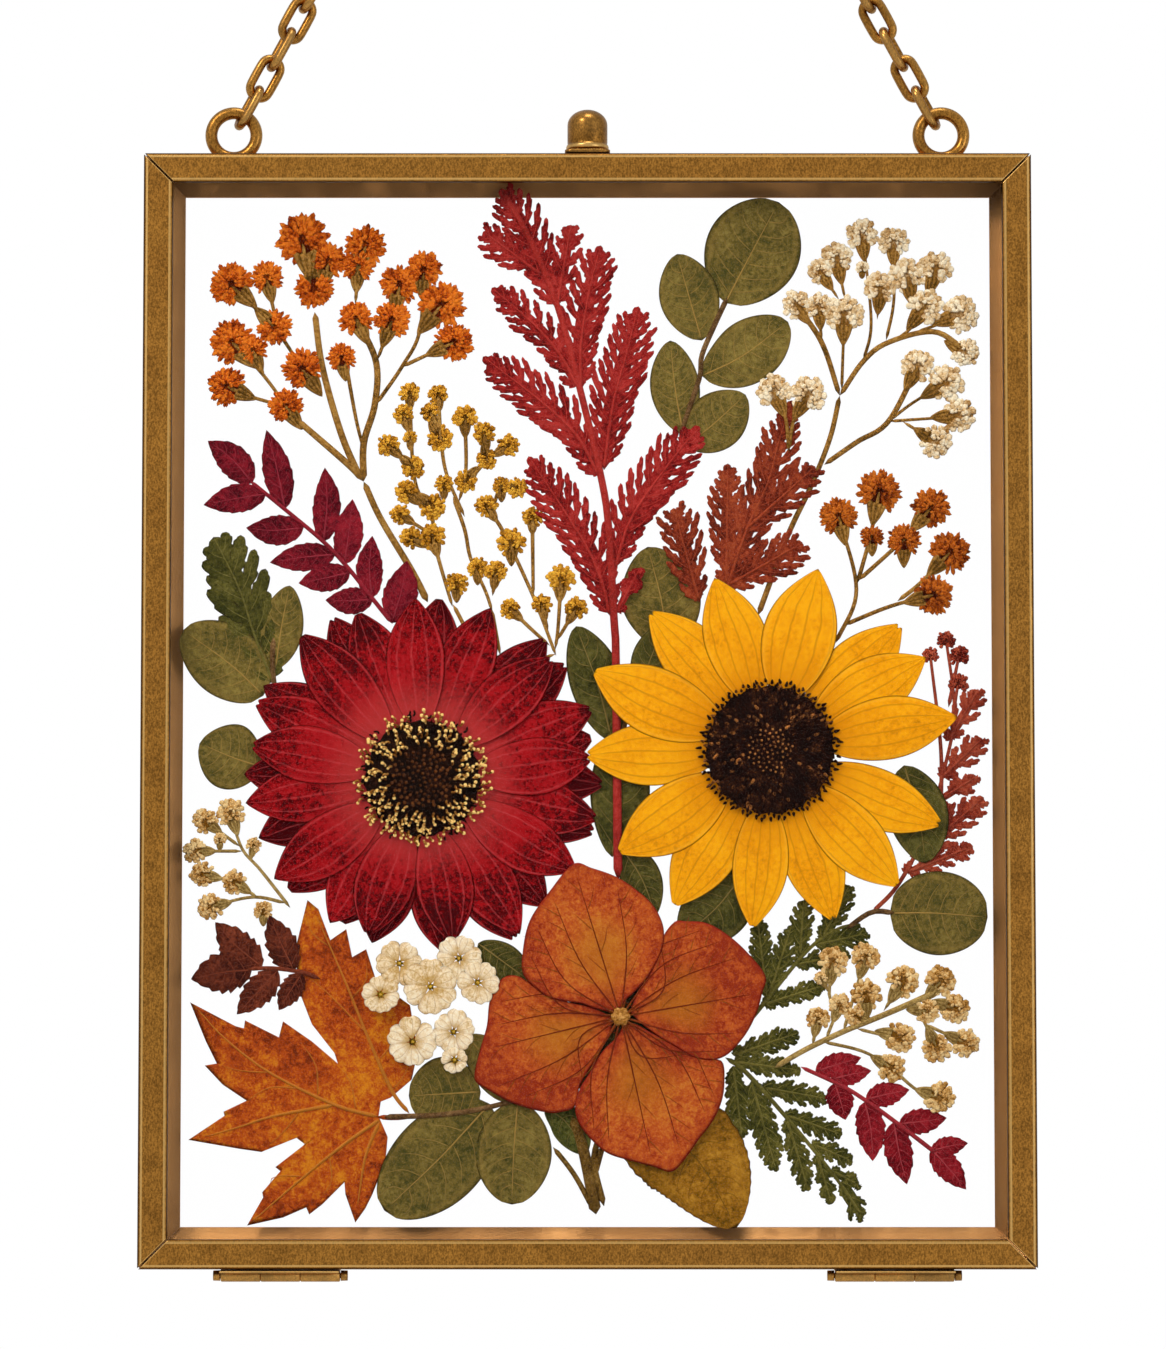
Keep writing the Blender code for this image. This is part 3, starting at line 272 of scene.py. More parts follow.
def add_piece(name, grids, finish, nodes, body="back_half", caps=()):
    """Joins grids in one mesh object that rides on its body and stands for its CAD nodes.

    Each grid's quads join neighbouring points. A grid whose signed volume, the sum of its corners' triple products,
    is negative is turned round, so that every face points outwards. caps are closing faces, as point numbers.
    """
    points, quads, values, start = [], [], [], 0
    for place, own, loop in grids:
        rows, columns = place.shape[:2]
        number = start + np.arange(rows * columns).reshape(rows, columns)
        number = np.concatenate([number, number[:, :1]], axis=1)
        if loop:
            number = np.concatenate([number, number[:1]], axis=0)
        corners = [number[:-1, :-1], number[1:, :-1], number[1:, 1:], number[:-1, 1:]]
        faces = np.stack(corners, axis=-1).reshape(-1, 4)
        flat = place.reshape(-1, 3)
        a, b, c, d = (flat[faces[:, i] - start] - flat.mean(axis=0) for i in range(4))
        volume = np.einsum("ij,ij->", a, np.cross(b, c)) + np.einsum("ij,ij->", a, np.cross(c, d))
        quads.append(faces[:, ::-1] if volume < 0 else faces)
        points.append(flat)
        values.append(np.stack([v.reshape(-1) for v in own]))
        start += rows * columns
    points, quads, values = np.concatenate(points), np.concatenate(quads), np.concatenate(values, axis=1)
    mesh = bpy.data.meshes.new(name)
    mesh.vertices.add(len(points))
    mesh.vertices.foreach_set("co", points.astype(np.float32).ravel())
    mesh.loops.add(quads.size)
    mesh.loops.foreach_set("vertex_index", quads.astype(np.int32).ravel())
    mesh.polygons.add(len(quads))
    mesh.polygons.foreach_set("loop_start", np.arange(0, quads.size, 4, dtype=np.int32))
    mesh.update(calc_edges=True)
    leaf = mesh.uv_layers.new(name="leaf")
    leaf.uv.foreach_set("vector", values[:2].T[quads.ravel()].astype(np.float32).ravel())
    for row, attribute in enumerate(("tint", "vein", "edge")):
        layer = mesh.attributes.new(attribute, "FLOAT", "POINT")
        layer.data.foreach_set("value", values[row + 2].astype(np.float32))
    shaped = bmesh.new()
    shaped.from_mesh(mesh)
    if caps:
        shaped.verts.ensure_lookup_table()
        for cap in caps:
            shaped.faces.new([shaped.verts[i] for i in cap])
        bmesh.ops.recalc_face_normals(shaped, faces=shaped.faces)
    bmesh.ops.remove_doubles(shaped, verts=shaped.verts, dist=1e-7)
    shaped.to_mesh(mesh)
    shaped.free()
    mesh.shade_smooth()
    made = bpy.data.objects.new(name, mesh)
    bpy.context.scene.collection.objects.link(made)
    mesh.materials.append(finish)
    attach(made, body)
    if nodes:
        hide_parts(*nodes)
    return made


def spline(path, shares):
    """Points and unit normals at these shares of a smooth curve through path (a Catmull-Rom curve, by length)."""
    path = np.array(path, float)
    if len(path) == 2:
        path = np.linspace(path[0], path[1], 4)
    padded = np.vstack([2 * path[0] - path[1], path, 2 * path[-1] - path[-2]])
    t = np.linspace(0, len(path) - 1 - 1e-9, 24 * len(path))
    i = t.astype(int)
    f = (t - i)[:, None]
    p0, p1, p2, p3 = (padded[i + k] for k in range(4))
    fine = 0.5 * (2 * p1 + (p2 - p0) * f + (2 * p0 - 5 * p1 + 4 * p2 - p3) * f**2 + (3 * p1 - p0 - 3 * p2 + p3) * f**3)
    run = np.append(0, np.cumsum(np.hypot(*np.diff(fine, axis=0).T)))
    at = np.clip(np.asarray(shares, float), 0, 1) * run[-1]
    points = np.column_stack([np.interp(at, run, fine[:, k]) for k in (0, 1)])
    slope = np.gradient(fine, run + np.arange(len(run)) * 1e-9, axis=0)
    steps = np.column_stack([np.interp(at, run, slope[:, k]) for k in (0, 1)])
    steps /= np.hypot(*steps.T)[:, None]
    return points, np.column_stack([-steps[:, 1], steps[:, 0]])


def in_space(view, depth):
    """View pixels (..., 2) and a depth y (...) as points in metres."""
    x = (view[..., 0] - VIEW_MIDDLE) * PIXEL
    z = (VIEW_FLOOR - view[..., 1]) * PIXEL + BOTTOM
    return np.stack([x, np.broadcast_to(depth, x.shape), z], axis=-1)


def half_width(t, width, belly, fullness, point=None):
    """width/2 sin(pi t^k)^p: k puts the widest place at the belly, and p goes from fullness at the base to point."""
    skew = math.log(0.5) / math.log(belly)
    power = fullness if point is None else fullness + (point - fullness) * np.clip(t * 1.6 - 0.5, 0, 1)
    return width / 2 * np.sin(math.pi * np.clip(t, 1e-4, 1 - 1e-4) ** skew) ** power


def blade(
    path, width, depth, rows, around, belly, fullness, thick, teeth=0, bite=0.0, notch=0.0,
    cup=0.0, tilt=0.0, rise=0.0, ruffle=0.0, seed=0.0, tint=0.5, vein=0.0, lip=0.0, point=None,
):
    """A petal or leaf: a closed, flattened tube along a path in view pixels.

    Half its width at share t comes from half_width, and teeth saw into it by bite. Across it, s runs from -1 to 1
    and its depth is thick sqrt(1-s^2) about a middle surface, which comes forward by cup (1-s^2), tilt s, rise t and
    a ruffle along the edges. notch draws the middle of the tip back, and lip lifts the rim.
    """
    t = np.linspace(0, 1, rows) ** 0.9
    t = t / t[-1]
    turn = turns(around)
    s, side = np.cos(turn)[None, :], np.sin(turn)[None, :]
    inside = ((t > 0) & (t < 1)).astype(float)
    half = inside * half_width(t, width, belly, fullness, point)
    grown = half[:, None] * np.ones_like(s)
    if teeth:
        phase = t[:, None] * teeth + 0.5 * (s > 0) + seed
        grown = grown * (1 - bite * (1 - (phase % 1.0)) * np.abs(s))
    middle, normal = spline(path, t)
    ahead = np.column_stack([normal[:, 1], -normal[:, 0]])
    view = middle[:, None, :] + normal[:, None, :] * (s * grown)[..., None]
    if notch:
        dip = np.where(t[:, None] < 1, np.maximum(0, 1 - np.abs(s) * 2.2), 1)
        back = notch * dip * np.clip((t[:, None] - 0.8) / 0.2, 0, 1) ** 2
        view = view - ahead[:, None, :] * back[..., None]
    sideways = tilt * s + ruffle * np.sin(t[:, None] * 17 + seed * 6 + 2 * s) * s**2 + lip * np.abs(s) ** 6
    forward = cup * (1 - s**2) * np.sin(math.pi * t)[:, None] + rise * t[:, None] + inside[:, None] * sideways
    y = depth - forward - side * thick * np.clip(np.sin(math.pi * t), 0, 1)[:, None] ** 0.4
    # edge: up to 0.5 on a band inside the rim, then -1 on the outermost line and the tip, where the material paints a
    # shadow.
    rim = np.interp(np.abs(s), [0.84, 0.925, 0.98, 1.0], [0, 0.5, -0.6, -1])
    rim = np.where(t[:, None] > 0.99, -1, rim)
    return grid(in_space(view, y), (s + 1) / 2, t[:, None], tint, vein, rim)


def stalk(path, width, depth, end_width=None, rows=None, around=8, flat=0.6, tint=0.4, vein=0.0, sink=0.0):
    """A stem or vein: an oval tube along a path in view pixels, with rounded ends, tapering to end_width."""
    path = np.array(path, float)
    run = np.hypot(*np.diff(path, axis=0).T).sum()
    rows = rows or int(np.clip(run / 6, 6, 60))
    t = np.linspace(0, 1, rows)
    end = width if end_width is None else end_width
    radius = (width + (end - width) * t) / 2
    round_off = np.sqrt(np.clip(1 - np.clip(1 - np.minimum(t, 1 - t) * run / max(width, 1e-6) * 2, 0, 1) ** 2, 0, 1))
    radius = radius * np.maximum(round_off, 0)
    middle, normal = spline(path, t)
    turn = turns(around)
    s, side = np.cos(turn)[None, :], np.sin(turn)[None, :]
    view = middle[:, None, :] + normal[:, None, :] * (s * radius[:, None])[..., None]
    y = depth - sink * t[:, None] - side * radius[:, None] * flat * PIXEL
    return grid(in_space(view, y), (s + 1) / 2, t[:, None] * run / 40, tint, vein)


def rib_pattern(path, width, depth, count, vein_width, reach, bend, belly, fullness, point=None):
    """A leaf's midrib and its side veins, each a fine raised stalk that leaves the midrib and bends to the tip.

    A side vein runs from share t on the midrib to share t + sweep at reach times the half width there.
    """
    sweep = 0.16
    made = [stalk(spline(path, np.linspace(0, 0.95, 8))[0], vein_width * 1.5, depth, 0.5, around=6, vein=1.0)]
    for t in np.linspace(0.1, 0.95 - sweep, count):
        for way in (-1, 1):
            shares = np.clip(t + 0.012 * way + sweep * np.array([0, 0.5 - 0.5 * bend, 1]), 0, 1)
            out = way * reach * np.array([0, 0.52, 1]) * half_width(shares, width, belly, fullness, point)
            middle, normal = spline(path, shares)
            made.append(stalk(middle + normal * out[:, None], vein_width * 0.8, depth, 0.3, 8, 5, vein=0.8))
    return made


# The holder.


def bar_section(width, face, parting):
    """An L-section as rows (distance in from the outer edge, depth, edge), with its arrises rounded.

    The outer corner is an arc of 0.8 mm and the inner lip one of 0.35 mm. edge is 1 on the two arrises of the face,
    a painted highlight, and below 0 on the outer rounding and the inner side, painted shade.
    """
    into = math.copysign(1, parting - face)
    wall, flange = 2.0 * MM, 1.5 * MM

    def arc(centre, radius, start, end, steps):
        turn = np.linspace(start, end, steps)
        return np.column_stack([centre[0] + radius * np.cos(turn), centre[1] - into * radius * np.sin(turn), edge_light_and_shade])

    # Outer arc: painted shade on the outer rounding, turning to a painted highlight where it meets the face.
    edge_light_and_shade = np.array([-1, -1, -1, -1, -1, -0.9, -0.4, 0.6, 1])
    outer = arc((0.8 * MM, face + into * 0.8 * MM), 0.8 * MM, math.pi, math.pi / 2, 9)
    places = np.array([0.95 * MM, 1.1 * MM, 2 * MM, 3 * MM, width - 1.5 * MM, width - 0.95 * MM, width - 0.8 * MM])
    # Face: a painted highlight on its two arrises.
    flat = np.column_stack([places, np.full(7, face), [1, 0, 0, 0, 0, 0, 1]])
    # Inner lip: a painted highlight on its arris, then painted shade down the inner side.
    edge_light_and_shade = np.array([0.4, -0.3, -0.8, -1, -1, -1])
    lip = arc((width - 0.35 * MM, face + into * 0.35 * MM), 0.35 * MM, math.pi / 2, 0, 6)
    # Inner walls and flange: edge -1, the patina colour, which on the front bars is painted shade.
    tail = [
        (width, face + into * flange, -1), (wall + 0.2 * MM, face + into * flange, -1),
        (wall, face + into * (flange + 0.2 * MM), -1), (wall, parting, -1), (0, parting, -1),
    ]
    return np.vstack([outer, flat, lip, tail])


def mitred_bar(name, side, section, finish, body, gap, parting):
    """A bar of the frame: its section carried along the side, each point's ends drawn in to the mitre.

    The mitre is open by gap, and its arrises get a painted highlight and are rounded by soft.
    """
    across, depth, edge = section.T
    ends = (RIGHT - LEFT, TOP - BOTTOM)[side in ("left", "right")] / 2 - across - gap / 2
    rows, soft = 60, 0.15 * MM
    near = np.full((rows, 1), 0.4 * MM)
    near[[0, -1]] = 0
    near[[1, -2]] = soft
    share = np.concatenate([[-1, -1], np.linspace(-1, 1, rows - 4), [1, 1]])[:, None]
    along = share * (ends[None, :] - near)
    depth = depth + np.zeros((rows, 1))
    away = np.abs(depth[[0, -1]] - parting) > 0.3 * MM
    depth[[0, -1]] += np.where(away, math.copysign(soft, parting - depth[0, 8]), 0)
    inward = np.broadcast_to(across, along.shape)
    centre_x, centre_z = (LEFT + RIGHT) / 2, (BOTTOM + TOP) / 2
    x, z = {
        "bottom": (centre_x + along, BOTTOM + inward),
        "top": (centre_x - along, TOP - inward),
        "left": (LEFT + inward, centre_z - along),
        "right": (RIGHT - inward, centre_z + along),
    }[side]
    points = np.stack([x, np.broadcast_to(depth, x.shape), z], axis=-1)
    edge_light_and_shade = np.broadcast_to(edge, x.shape).copy()
    # The mitre's end faces get the dark joint colour, and the arrises beside them a painted highlight.
    edge_light_and_shade[[0, -1]] = -1
    edge_light_and_shade[[1, -2]] = np.where(edge > -0.5, 1, edge)
    count = len(section)
    caps = [list(range(count)), list(range(count * (rows - 1), count * rows))]
    made = grid(points, np.linspace(0, 1, count)[None, :], np.linspace(0, 1, rows)[:, None], edge=edge_light_and_shade)
    return add_piece(name + "_bar", [made], finish, [name], body, caps)


LINKS = 21
LINK_WIDTH = 6.8 * MM


def ring_tube(centre, radius, wire, stretch=0.0, around=18, rows=72):
    """A ring or oval link in its own XZ plane: a circle of wire carried round a circle whose halves are drawn
    apart by stretch along Z. centre is a function that takes the points to where the ring hangs."""
    turn = turns(rows)
    out = np.column_stack([np.cos(turn), np.zeros(rows), np.sin(turn)])
    path = out * radius + np.array([0, 0, 1]) * (np.tanh(np.sin(turn) * 6) * stretch / 2)[:, None]
    section = turns(around)
    ring = out[:, None, :] * np.cos(section)[None, :, None] + np.array([0, 1, 0]) * np.sin(section)[None, :, None]
    points = path[:, None, :] + ring * wire / 2
    # A painted highlight along the outer side of the wire.
    edge_light_and_shade = 0.35 * np.clip(np.cos(section), 0, 1)[None, :] ** 2
    return grid(centre(points), 0.5, (turn / math.tau)[:, None], edge=edge_light_and_shade, loop=True)


def spun(profile, centre, around, edge=0.0, loop=False, lying=False):
    """A profile of rows (radius, place along the axis) spun round a vertical axis, or round X where lying."""
    profile = np.array(profile, float)
    across, aside = profile[:, :1] * np.cos(turns(around)), profile[:, :1] * np.sin(turns(around))
    along = np.broadcast_to(profile[:, 1:], across.shape)
    points = np.stack([along, across, aside] if lying else [across, aside, along], axis=-1) + np.array(centre)
    return grid(points, 0.5, 0.5, edge=np.array(edge, float)[..., None], loop=loop)


class FrameSettings(bpy.types.PropertyGroup):
    """Sizes and colours of the brass frame."""

    front_width: length("Front bar width", 6.7 * MM, "Width of the front bars on their face")
    back_width: length("Back bar width", 8.75 * MM, "Width of the back bars on their face")
    wire: length("Ring wire", 2.8 * MM, "Thickness of the rings' wire")
    link_wire: length("Link wire", 2.05 * MM, "Thickness of the chain's wire")
    metal: colour("Brass", "#B57E36", "The brass where it is neither worn nor stained")
    # The bright colour is a painted highlight on the arrises.
    bright: colour("Brass highlight", "#F6C97C", "The painted highlight on the brass's arrises")
    # The patina colour also paints the shade on the front bars' outer roundings and inner sides.
    patina_and_shade: colour("Patina", "#5A3A16", "The brown film in the brass's low places")
    inner: colour("Inner brass", "#B58450", "The dark brass of the back bars")


class FLOWER_OT_bars(bpy.types.Operator):
    """Builds the eight mitred bars of the two brass halves"""

    bl_idname = "flower.bars"
    bl_label = "Frame bars"

    def execute(self, context):
        look = context.scene.flower_frame
        face_brass = brass("brushed_antique_brass", look, 0.36, 0.45, 0.55)
        dark_brass = brass("patinated_dark_brass", look, 0.5, 0.6, 0.4, look.inner)
        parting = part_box("front_bar_top")[1][1]
        back_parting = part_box("back_bar_top")[0][1]
        front = bar_section(look.front_width, FRONT_FACE, parting)
        back = bar_section(look.back_width, BACK_FACE, back_parting)
        for side in ("top", "bottom", "left", "right"):
            mitred_bar(f"front_bar_{side}", side, front, face_brass, "front_half", 0.5 * MM, parting)
            mitred_bar(f"back_bar_{side}", side, back, dark_brass, "back_half", 0.03 * MM, back_parting)
        return {"FINISHED"}


class FLOWER_OT_glass(bpy.types.Operator):
    """Gives both panes their glass"""

    bl_idname = "flower.glass"
    bl_label = "Panes"

    def execute(self, context):
        pane = clear_glass("float_glass")
        for name in ("front_glass", "back_glass"):
            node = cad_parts[name]
            if not node.material_slots:
                node.data.materials.append(pane)
            for place in node.material_slots:
                place.material = pane
        return {"FINISHED"}


class FLOWER_OT_chain(bpy.types.Operator):
    """Builds the eyelets, the two strands of chain and the hang ring"""

    bl_idname = "flower.chain"
    bl_label = "Chain and rings"

    def execute(self, context):
        look = context.scene.flower_frame
        wire_brass = brass("drawn_brass_wire", look, 0.3, 0.5, 0.3)
        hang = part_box("hang_ring")
        top = Vector((0, 0, (hang[0][2] + hang[1][2]) / 2))
        top_radius = (hang[1][2] - hang[0][2]) / 2
        for name, side in (("left", -1), ("right", 1)):
            low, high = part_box(f"eyelet_{name}")
            radius = (high[0] - low[0]) / 2
            centre = Vector(((low[0] + high[0]) / 2, 0, high[2] - radius))
            ring = ring_tube(lambda p: p + np.array(centre), radius - look.wire / 2, look.wire)
            reach = np.clip((ring[0][..., 2] - low[2]) / (0.6 * MM), 0, None)
            ring[0][..., 2] = np.maximum(ring[0][..., 2], low[2] + 0.02 * MM * np.clip(reach, 0, 1))
            solder = np.array([(0, 0.05), (2.9, 0.05), (3.1, 0.2), (2.6, 0.7), (1.6, 1.1), (0, 1.2)]) * MM
            # A painted highlight on the solder's rim.
            foot = spun(solder, (centre[0], 0, low[2]), 40, (0, 0, 0.4, 0, 0, 0))
            foot[0][..., 1] *= 0.5
            add_piece(f"chain_eyelet_{name}", [ring, foot], wire_brass, [f"eyelet_{name}"])
            along = (top - centre).normalized()
            lean = along.to_track_quat("Z", "Y").to_matrix()
            start, end = radius - look.wire - 0.3 * MM, top_radius - look.wire - 0.3 * MM
            pitch = ((top - centre).length - start - end) / LINKS
            links = []
            for number in range(LINKS):
                twist = np.array(lean @ Matrix.Rotation(math.radians(90 * number - side * 20), 3, "Z"))
                place = np.array(centre + along * (start + (number + 0.5) * pitch))
                half = LINK_WIDTH / 2 - look.link_wire / 2
                stretch = pitch + 2 * look.link_wire - 0.1 * MM - LINK_WIDTH
                links.append(ring_tube(lambda p, m=twist, q=place: p @ m.T + q, half, look.link_wire, stretch, 12, 40))
            add_piece(f"chain_strand_{name}", links, wire_brass, [f"chain_{name}"])
        ring = ring_tube(lambda p: p + np.array(top), top_radius - look.wire / 2, look.wire)
        add_piece("nail_ring", [ring], wire_brass, ["hang_ring"])
        return {"FINISHED"}


class FLOWER_OT_latch(bpy.types.Operator):
    """Builds the closing cap, its post and the forked tab under it"""

    bl_idname = "flower.latch"
    bl_label = "Closing cap"

    def execute(self, context):
        look = context.scene.flower_frame
        cap_brass = brass("cast_antique_brass", look, 0.27, 0.8, 0.25)
        low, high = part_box("closing_cap")
        radius, height = (high[0] - low[0]) / 2, high[2] - low[2]
        centre = ((low[0] + high[0]) / 2, (low[1] + high[1]) / 2, low[2])
        bore, depth = 1.7 * MM, 7.0 * MM
        bow = np.linspace(0, math.pi / 2, 12)
        dome = [(radius * 0.94 * math.cos(a), height - 3.6 * MM + 3.6 * MM * math.sin(a)) for a in bow]
        foot = [
            (0, depth), (bore, depth), (bore, 0.15 * MM), (bore + 0.15 * MM, 0), (radius - 0.5 * MM, 0),
            (radius - 0.1 * MM, 0.2 * MM), (radius, 0.5 * MM), (radius, 0.9 * MM), (radius - 0.1 * MM, 1.2 * MM),
            (radius * 0.94, 1.45 * MM), (radius * 0.93, 1.6 * MM), (radius * 0.94, 1.9 * MM),
        ]
        # A painted reflection in a ring round the cap's foot, and the dome a little lighter all over.
        edge_light_and_shade = [0, 0, 0, 0, 0, 0.3, 0.9, 0.9, 0.3, 0, 0, 0] + [0.1] * 12
        cap = spun(foot + dome, centre, 56, edge_light_and_shade)
        add_piece("cap_dome", [cap], cap_brass, ["closing_cap"], "closing_cap")
        low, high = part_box("latch_post")
        post_radius = (high[0] - low[0]) / 2
        rise = high[2] - low[2]
        post = [(0, 0), (post_radius, 0), (post_radius, rise - 0.4 * MM), (post_radius - 0.3 * MM, rise), (0, rise)]
        place = ((low[0] + high[0]) / 2, (low[1] + high[1]) / 2, low[2])
        add_piece("cap_post", [spun(post, place, 32)], cap_brass, ["latch_post"])
        low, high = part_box("latch_tab")
        outline = fork_outline(low, high, place[1], post_radius + 0.3 * MM)
        middle = outline.mean(axis=0)
        ring = middle + (outline - middle)[None, :, :] * np.array([0.97, 1, 1, 0.97])[:, None, None]
        heights = low[2] + np.array([0, 0.12, 0.88, 1])[:, None, None] * (high[2] - low[2])
        points = np.concatenate([ring, np.broadcast_to(heights, (*ring.shape[:2], 1))], axis=2)
        count = len(outline)
        caps = [list(range(count)), list(range(count * 3, count * 4))]
        tab = grid(points, 0.5, 0.5, edge=0.1)
        add_piece("cap_tab", [tab], cap_brass, ["latch_tab"], "front_half", caps)
        return {"FINISHED"}


def fork_outline(low, high, middle, slot_half):
    """The tab from above: a rounded rectangle with a slot that is open to the back and half round at its end."""
    turn = np.linspace(math.pi, math.tau, 14)
    slot = np.column_stack([slot_half * np.cos(turn), middle + slot_half * np.sin(turn)])
    corner = np.linspace(0, math.pi / 2, 6)
    soft = 1.6 * MM
    front_right = np.column_stack([high[0] - soft + soft * np.cos(-corner), low[1] + soft + soft * np.sin(-corner)])
    front_left = np.column_stack([low[0] + soft - soft * np.sin(corner), low[1] + soft - soft * np.cos(corner)])
    right = [(slot_half, high[1]), (high[0], high[1])]
    left = [(low[0], high[1]), (-slot_half, high[1])]
    return np.vstack([slot, right, front_right, front_left, left])


class FLOWER_OT_hinges(bpy.types.Operator):
    """Builds the two hinges below the bottom bar"""

    bl_idname = "flower.hinges"
    bl_label = "Hinges"

    def execute(self, context):
        look = context.scene.flower_frame
        hinge_brass = brass("folded_brass_strip", look, 0.4, 0.9, 0.4)
        for side in ("left", "right"):
            low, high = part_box(f"hinge_pin_{side}")
            y, z = (low[1] + high[1]) / 2, (low[2] + high[2]) / 2
            headed = [(0, 0), (1.15, 0), (1.2, 0.05), (0.6, 0.05), (0.6, 0.95), (1.2, 0.95), (1.15, 1), (0, 1)]
            rows = [(radius * MM, low[0] + share * (high[0] - low[0])) for radius, share in headed]
            pin = spun(rows, (0, y, z), 20, 0.2, lying=True)
            add_piece(f"pin_{side}", [pin], hinge_brass, [f"hinge_pin_{side}"])
            start, end = low[0] + 1.7 * MM, high[0] - 1.7 * MM
            third, play = (end - start) / 3, 0.02 * MM
            for half, knuckles in (
                ("back", [(0, third - play), (2 * third + play, 3 * third)]),
                ("front", [(third + play, 2 * third - play)]),
            ):
                node = f"hinge_{half}_leaf_{side}"
                corner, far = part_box(node)
                grids = [sleeve(start + a, start + b, 1.4 * MM, 0.9 * MM, y, z) for a, b in knuckles]
                near = y + 0.25 * MM if half == "back" else y - 0.25 * MM
                edges = (near, far[1]) if half == "back" else (corner[1], near)
                grids.append(plate((corner[0], edges[0], far[2] - 0.48 * MM), (far[0], edges[1], far[2]), 0.12 * MM))
                add_piece(f"leaf_{half}_{side}_hinge", grids, hinge_brass, [node], f"{half}_half")
        return {"FINISHED"}


def sleeve(start, end, outer, bore, y, z):
    """A knuckle: a tube along X whose outer edges are rounded by soft, as a closed loop of radii."""
    soft = 0.2 * MM
    ring = [(bore, start), (outer - soft, start), (outer, start + soft)]
    ring += [(outer, end - soft), (outer - soft, end), (bore, end)]
    # A painted highlight on the knuckles' rounded ends, fainter along their outsides.
    return spun(ring, (0, y, z), 28, [0, 0.6, 0.3, 0.3, 0.6, 0], True, True)


def plate(low, high, soft):
    """A flat plate with soft arrises: a rounded rectangle in XZ carried along Y, its ends drawn to its middle."""
    low, high = np.array(low), np.array(high)
    corner = np.linspace(0, math.pi / 2, 4)
    signs = [(1, 1, 0), (-1, 1, 1), (-1, -1, 2), (1, -1, 3)]
    half, centre = (high - low) / 2, (high + low) / 2
    ring = np.vstack(
        [
            np.column_stack([
                sx * (half[0] - soft) + soft * np.cos(corner + k * math.pi / 2),
                sz * (half[2] - soft) + soft * np.sin(corner + k * math.pi / 2),
            ])
            for sx, sz, k in signs
        ]
    )
    along = np.array([-1, -1, -1, 1, 1, 1]) * half[1] + np.array([0, 0, soft, -soft, 0, 0])
    pull = np.array([soft, soft, 0, 0, soft, soft])
    scale = np.array([0.0, 1, 1, 1, 1, 0.0])
    x = centre[0] + (ring[None, :, 0] - np.sign(ring[None, :, 0]) * pull[:, None]) * scale[:, None]
    z = centre[2] + (ring[None, :, 1] - np.sign(ring[None, :, 1]) * pull[:, None]) * scale[:, None]
    y = centre[1] + np.broadcast_to(along[:, None], x.shape)
    # A painted highlight on the plate's rounded ends, and a faint one over the rest.
    edge_light_and_shade = np.array([0, 0.8, 0.2, 0.2, 0.8, 0])[:, None]
    return grid(np.stack([x, y, z], axis=-1), 0.5, 0.5, edge=edge_light_and_shade)


# The bouquet is placed in view pixels. A head is (x, y, radius), a leaf (base, tip, width).

GERBERA = (422, 783)
GERBERA_FRONT_TIPS = [
    (415, 602), (490, 612), (554, 662), (594, 713), (593, 763), (599, 824), (577, 876), (520, 939), (453, 948),
    (367, 941), (330, 928), (274, 884), (245, 808), (249, 750), (253, 706), (299, 638), (356, 615),
]
GERBERA_BACK_TIPS = [
    (439, 600), (547, 642), (568, 668), (594, 742), (605, 789), (596, 838), (547, 912), (516, 946), (445, 959),
    (372, 948), (341, 930), (287, 897), (258, 843), (243, 779), (262, 690), (330, 620),
]
SUNFLOWER = (770, 755)
SUNFLOWER_TIPS = [
    (819, 573), (903, 628), (927, 662), (958, 722), (943, 830), (899, 892), (834, 927), (752, 934), (673, 912),
    (617, 858), (584, 760), (592, 675), (649, 615), (715, 582),
]
HYDRANGEA = (620.5, 1021)

ORANGE_HEADS = [
    (299, 235, 27), (364, 242, 21), (327, 258, 19), (356, 264, 17), (226, 282, 22), (263, 275, 17), (312, 291, 20),
    (353, 317, 18), (391, 318, 19), (398, 282, 20), (422, 267, 19), (442, 303, 24), (455, 342, 20), (339, 357, 15),
    (299, 368, 21), (273, 329, 18), (227, 341, 23), (249, 349, 15), (222, 387, 20), (282, 406, 18),
]
ORANGE_TRUNKS = [
    [(362, 484), (379, 521), (410, 573), (427, 606)],
    [(294, 421), (349, 469), (362, 484)],
    [(312, 312), (320, 368), (339, 435), (358, 480)],
    [(353, 317), (374, 362), (373, 406), (362, 445), (362, 484)],
]
ORANGE_TWIGS = [
    [(303, 372), (320, 398)], [(343, 360), (354, 420), (362, 452)], [(391, 318), (375, 362)],
    [(374, 406), (400, 368), (418, 332), (422, 270)], [(400, 368), (412, 362), (455, 342)],
    [(418, 332), (442, 303)], [(299, 240), (308, 290)], [(327, 260), (318, 290)], [(356, 266), (353, 305)],
    [(364, 244), (358, 262)], [(398, 284), (392, 318)], [(226, 284), (253, 309), (273, 329)],
    [(263, 277), (274, 325)], [(274, 330), (295, 362)], [(227, 341), (257, 372), (280, 402)],
    [(249, 349), (262, 378)], [(222, 387), (245, 397), (275, 406)], [(282, 406), (294, 423)],
    [(299, 370), (306, 380)],
]
GOLDENROD_HEADS = [
    (408, 393, 11), (437, 395, 11), (402, 415, 11), (428, 413, 10), (464, 418, 13), (386, 447, 12), (409, 439, 8),
    (440, 442, 14), (483, 434, 12), (509, 447, 12), (413, 471, 12), (486, 463, 11), (404, 494, 12), (443, 486, 10),
    (464, 485, 12), (501, 488, 10), (518, 491, 11), (398, 517, 11), (433, 511, 14), (485, 508, 12), (532, 519, 11),
    (409, 540, 12), (431, 538, 14), (511, 544, 15), (477, 570, 11), (496, 574, 12), (456, 586, 12), (561, 581, 15),
    (509, 612, 11), (541, 607, 11), (577, 611, 12),
]
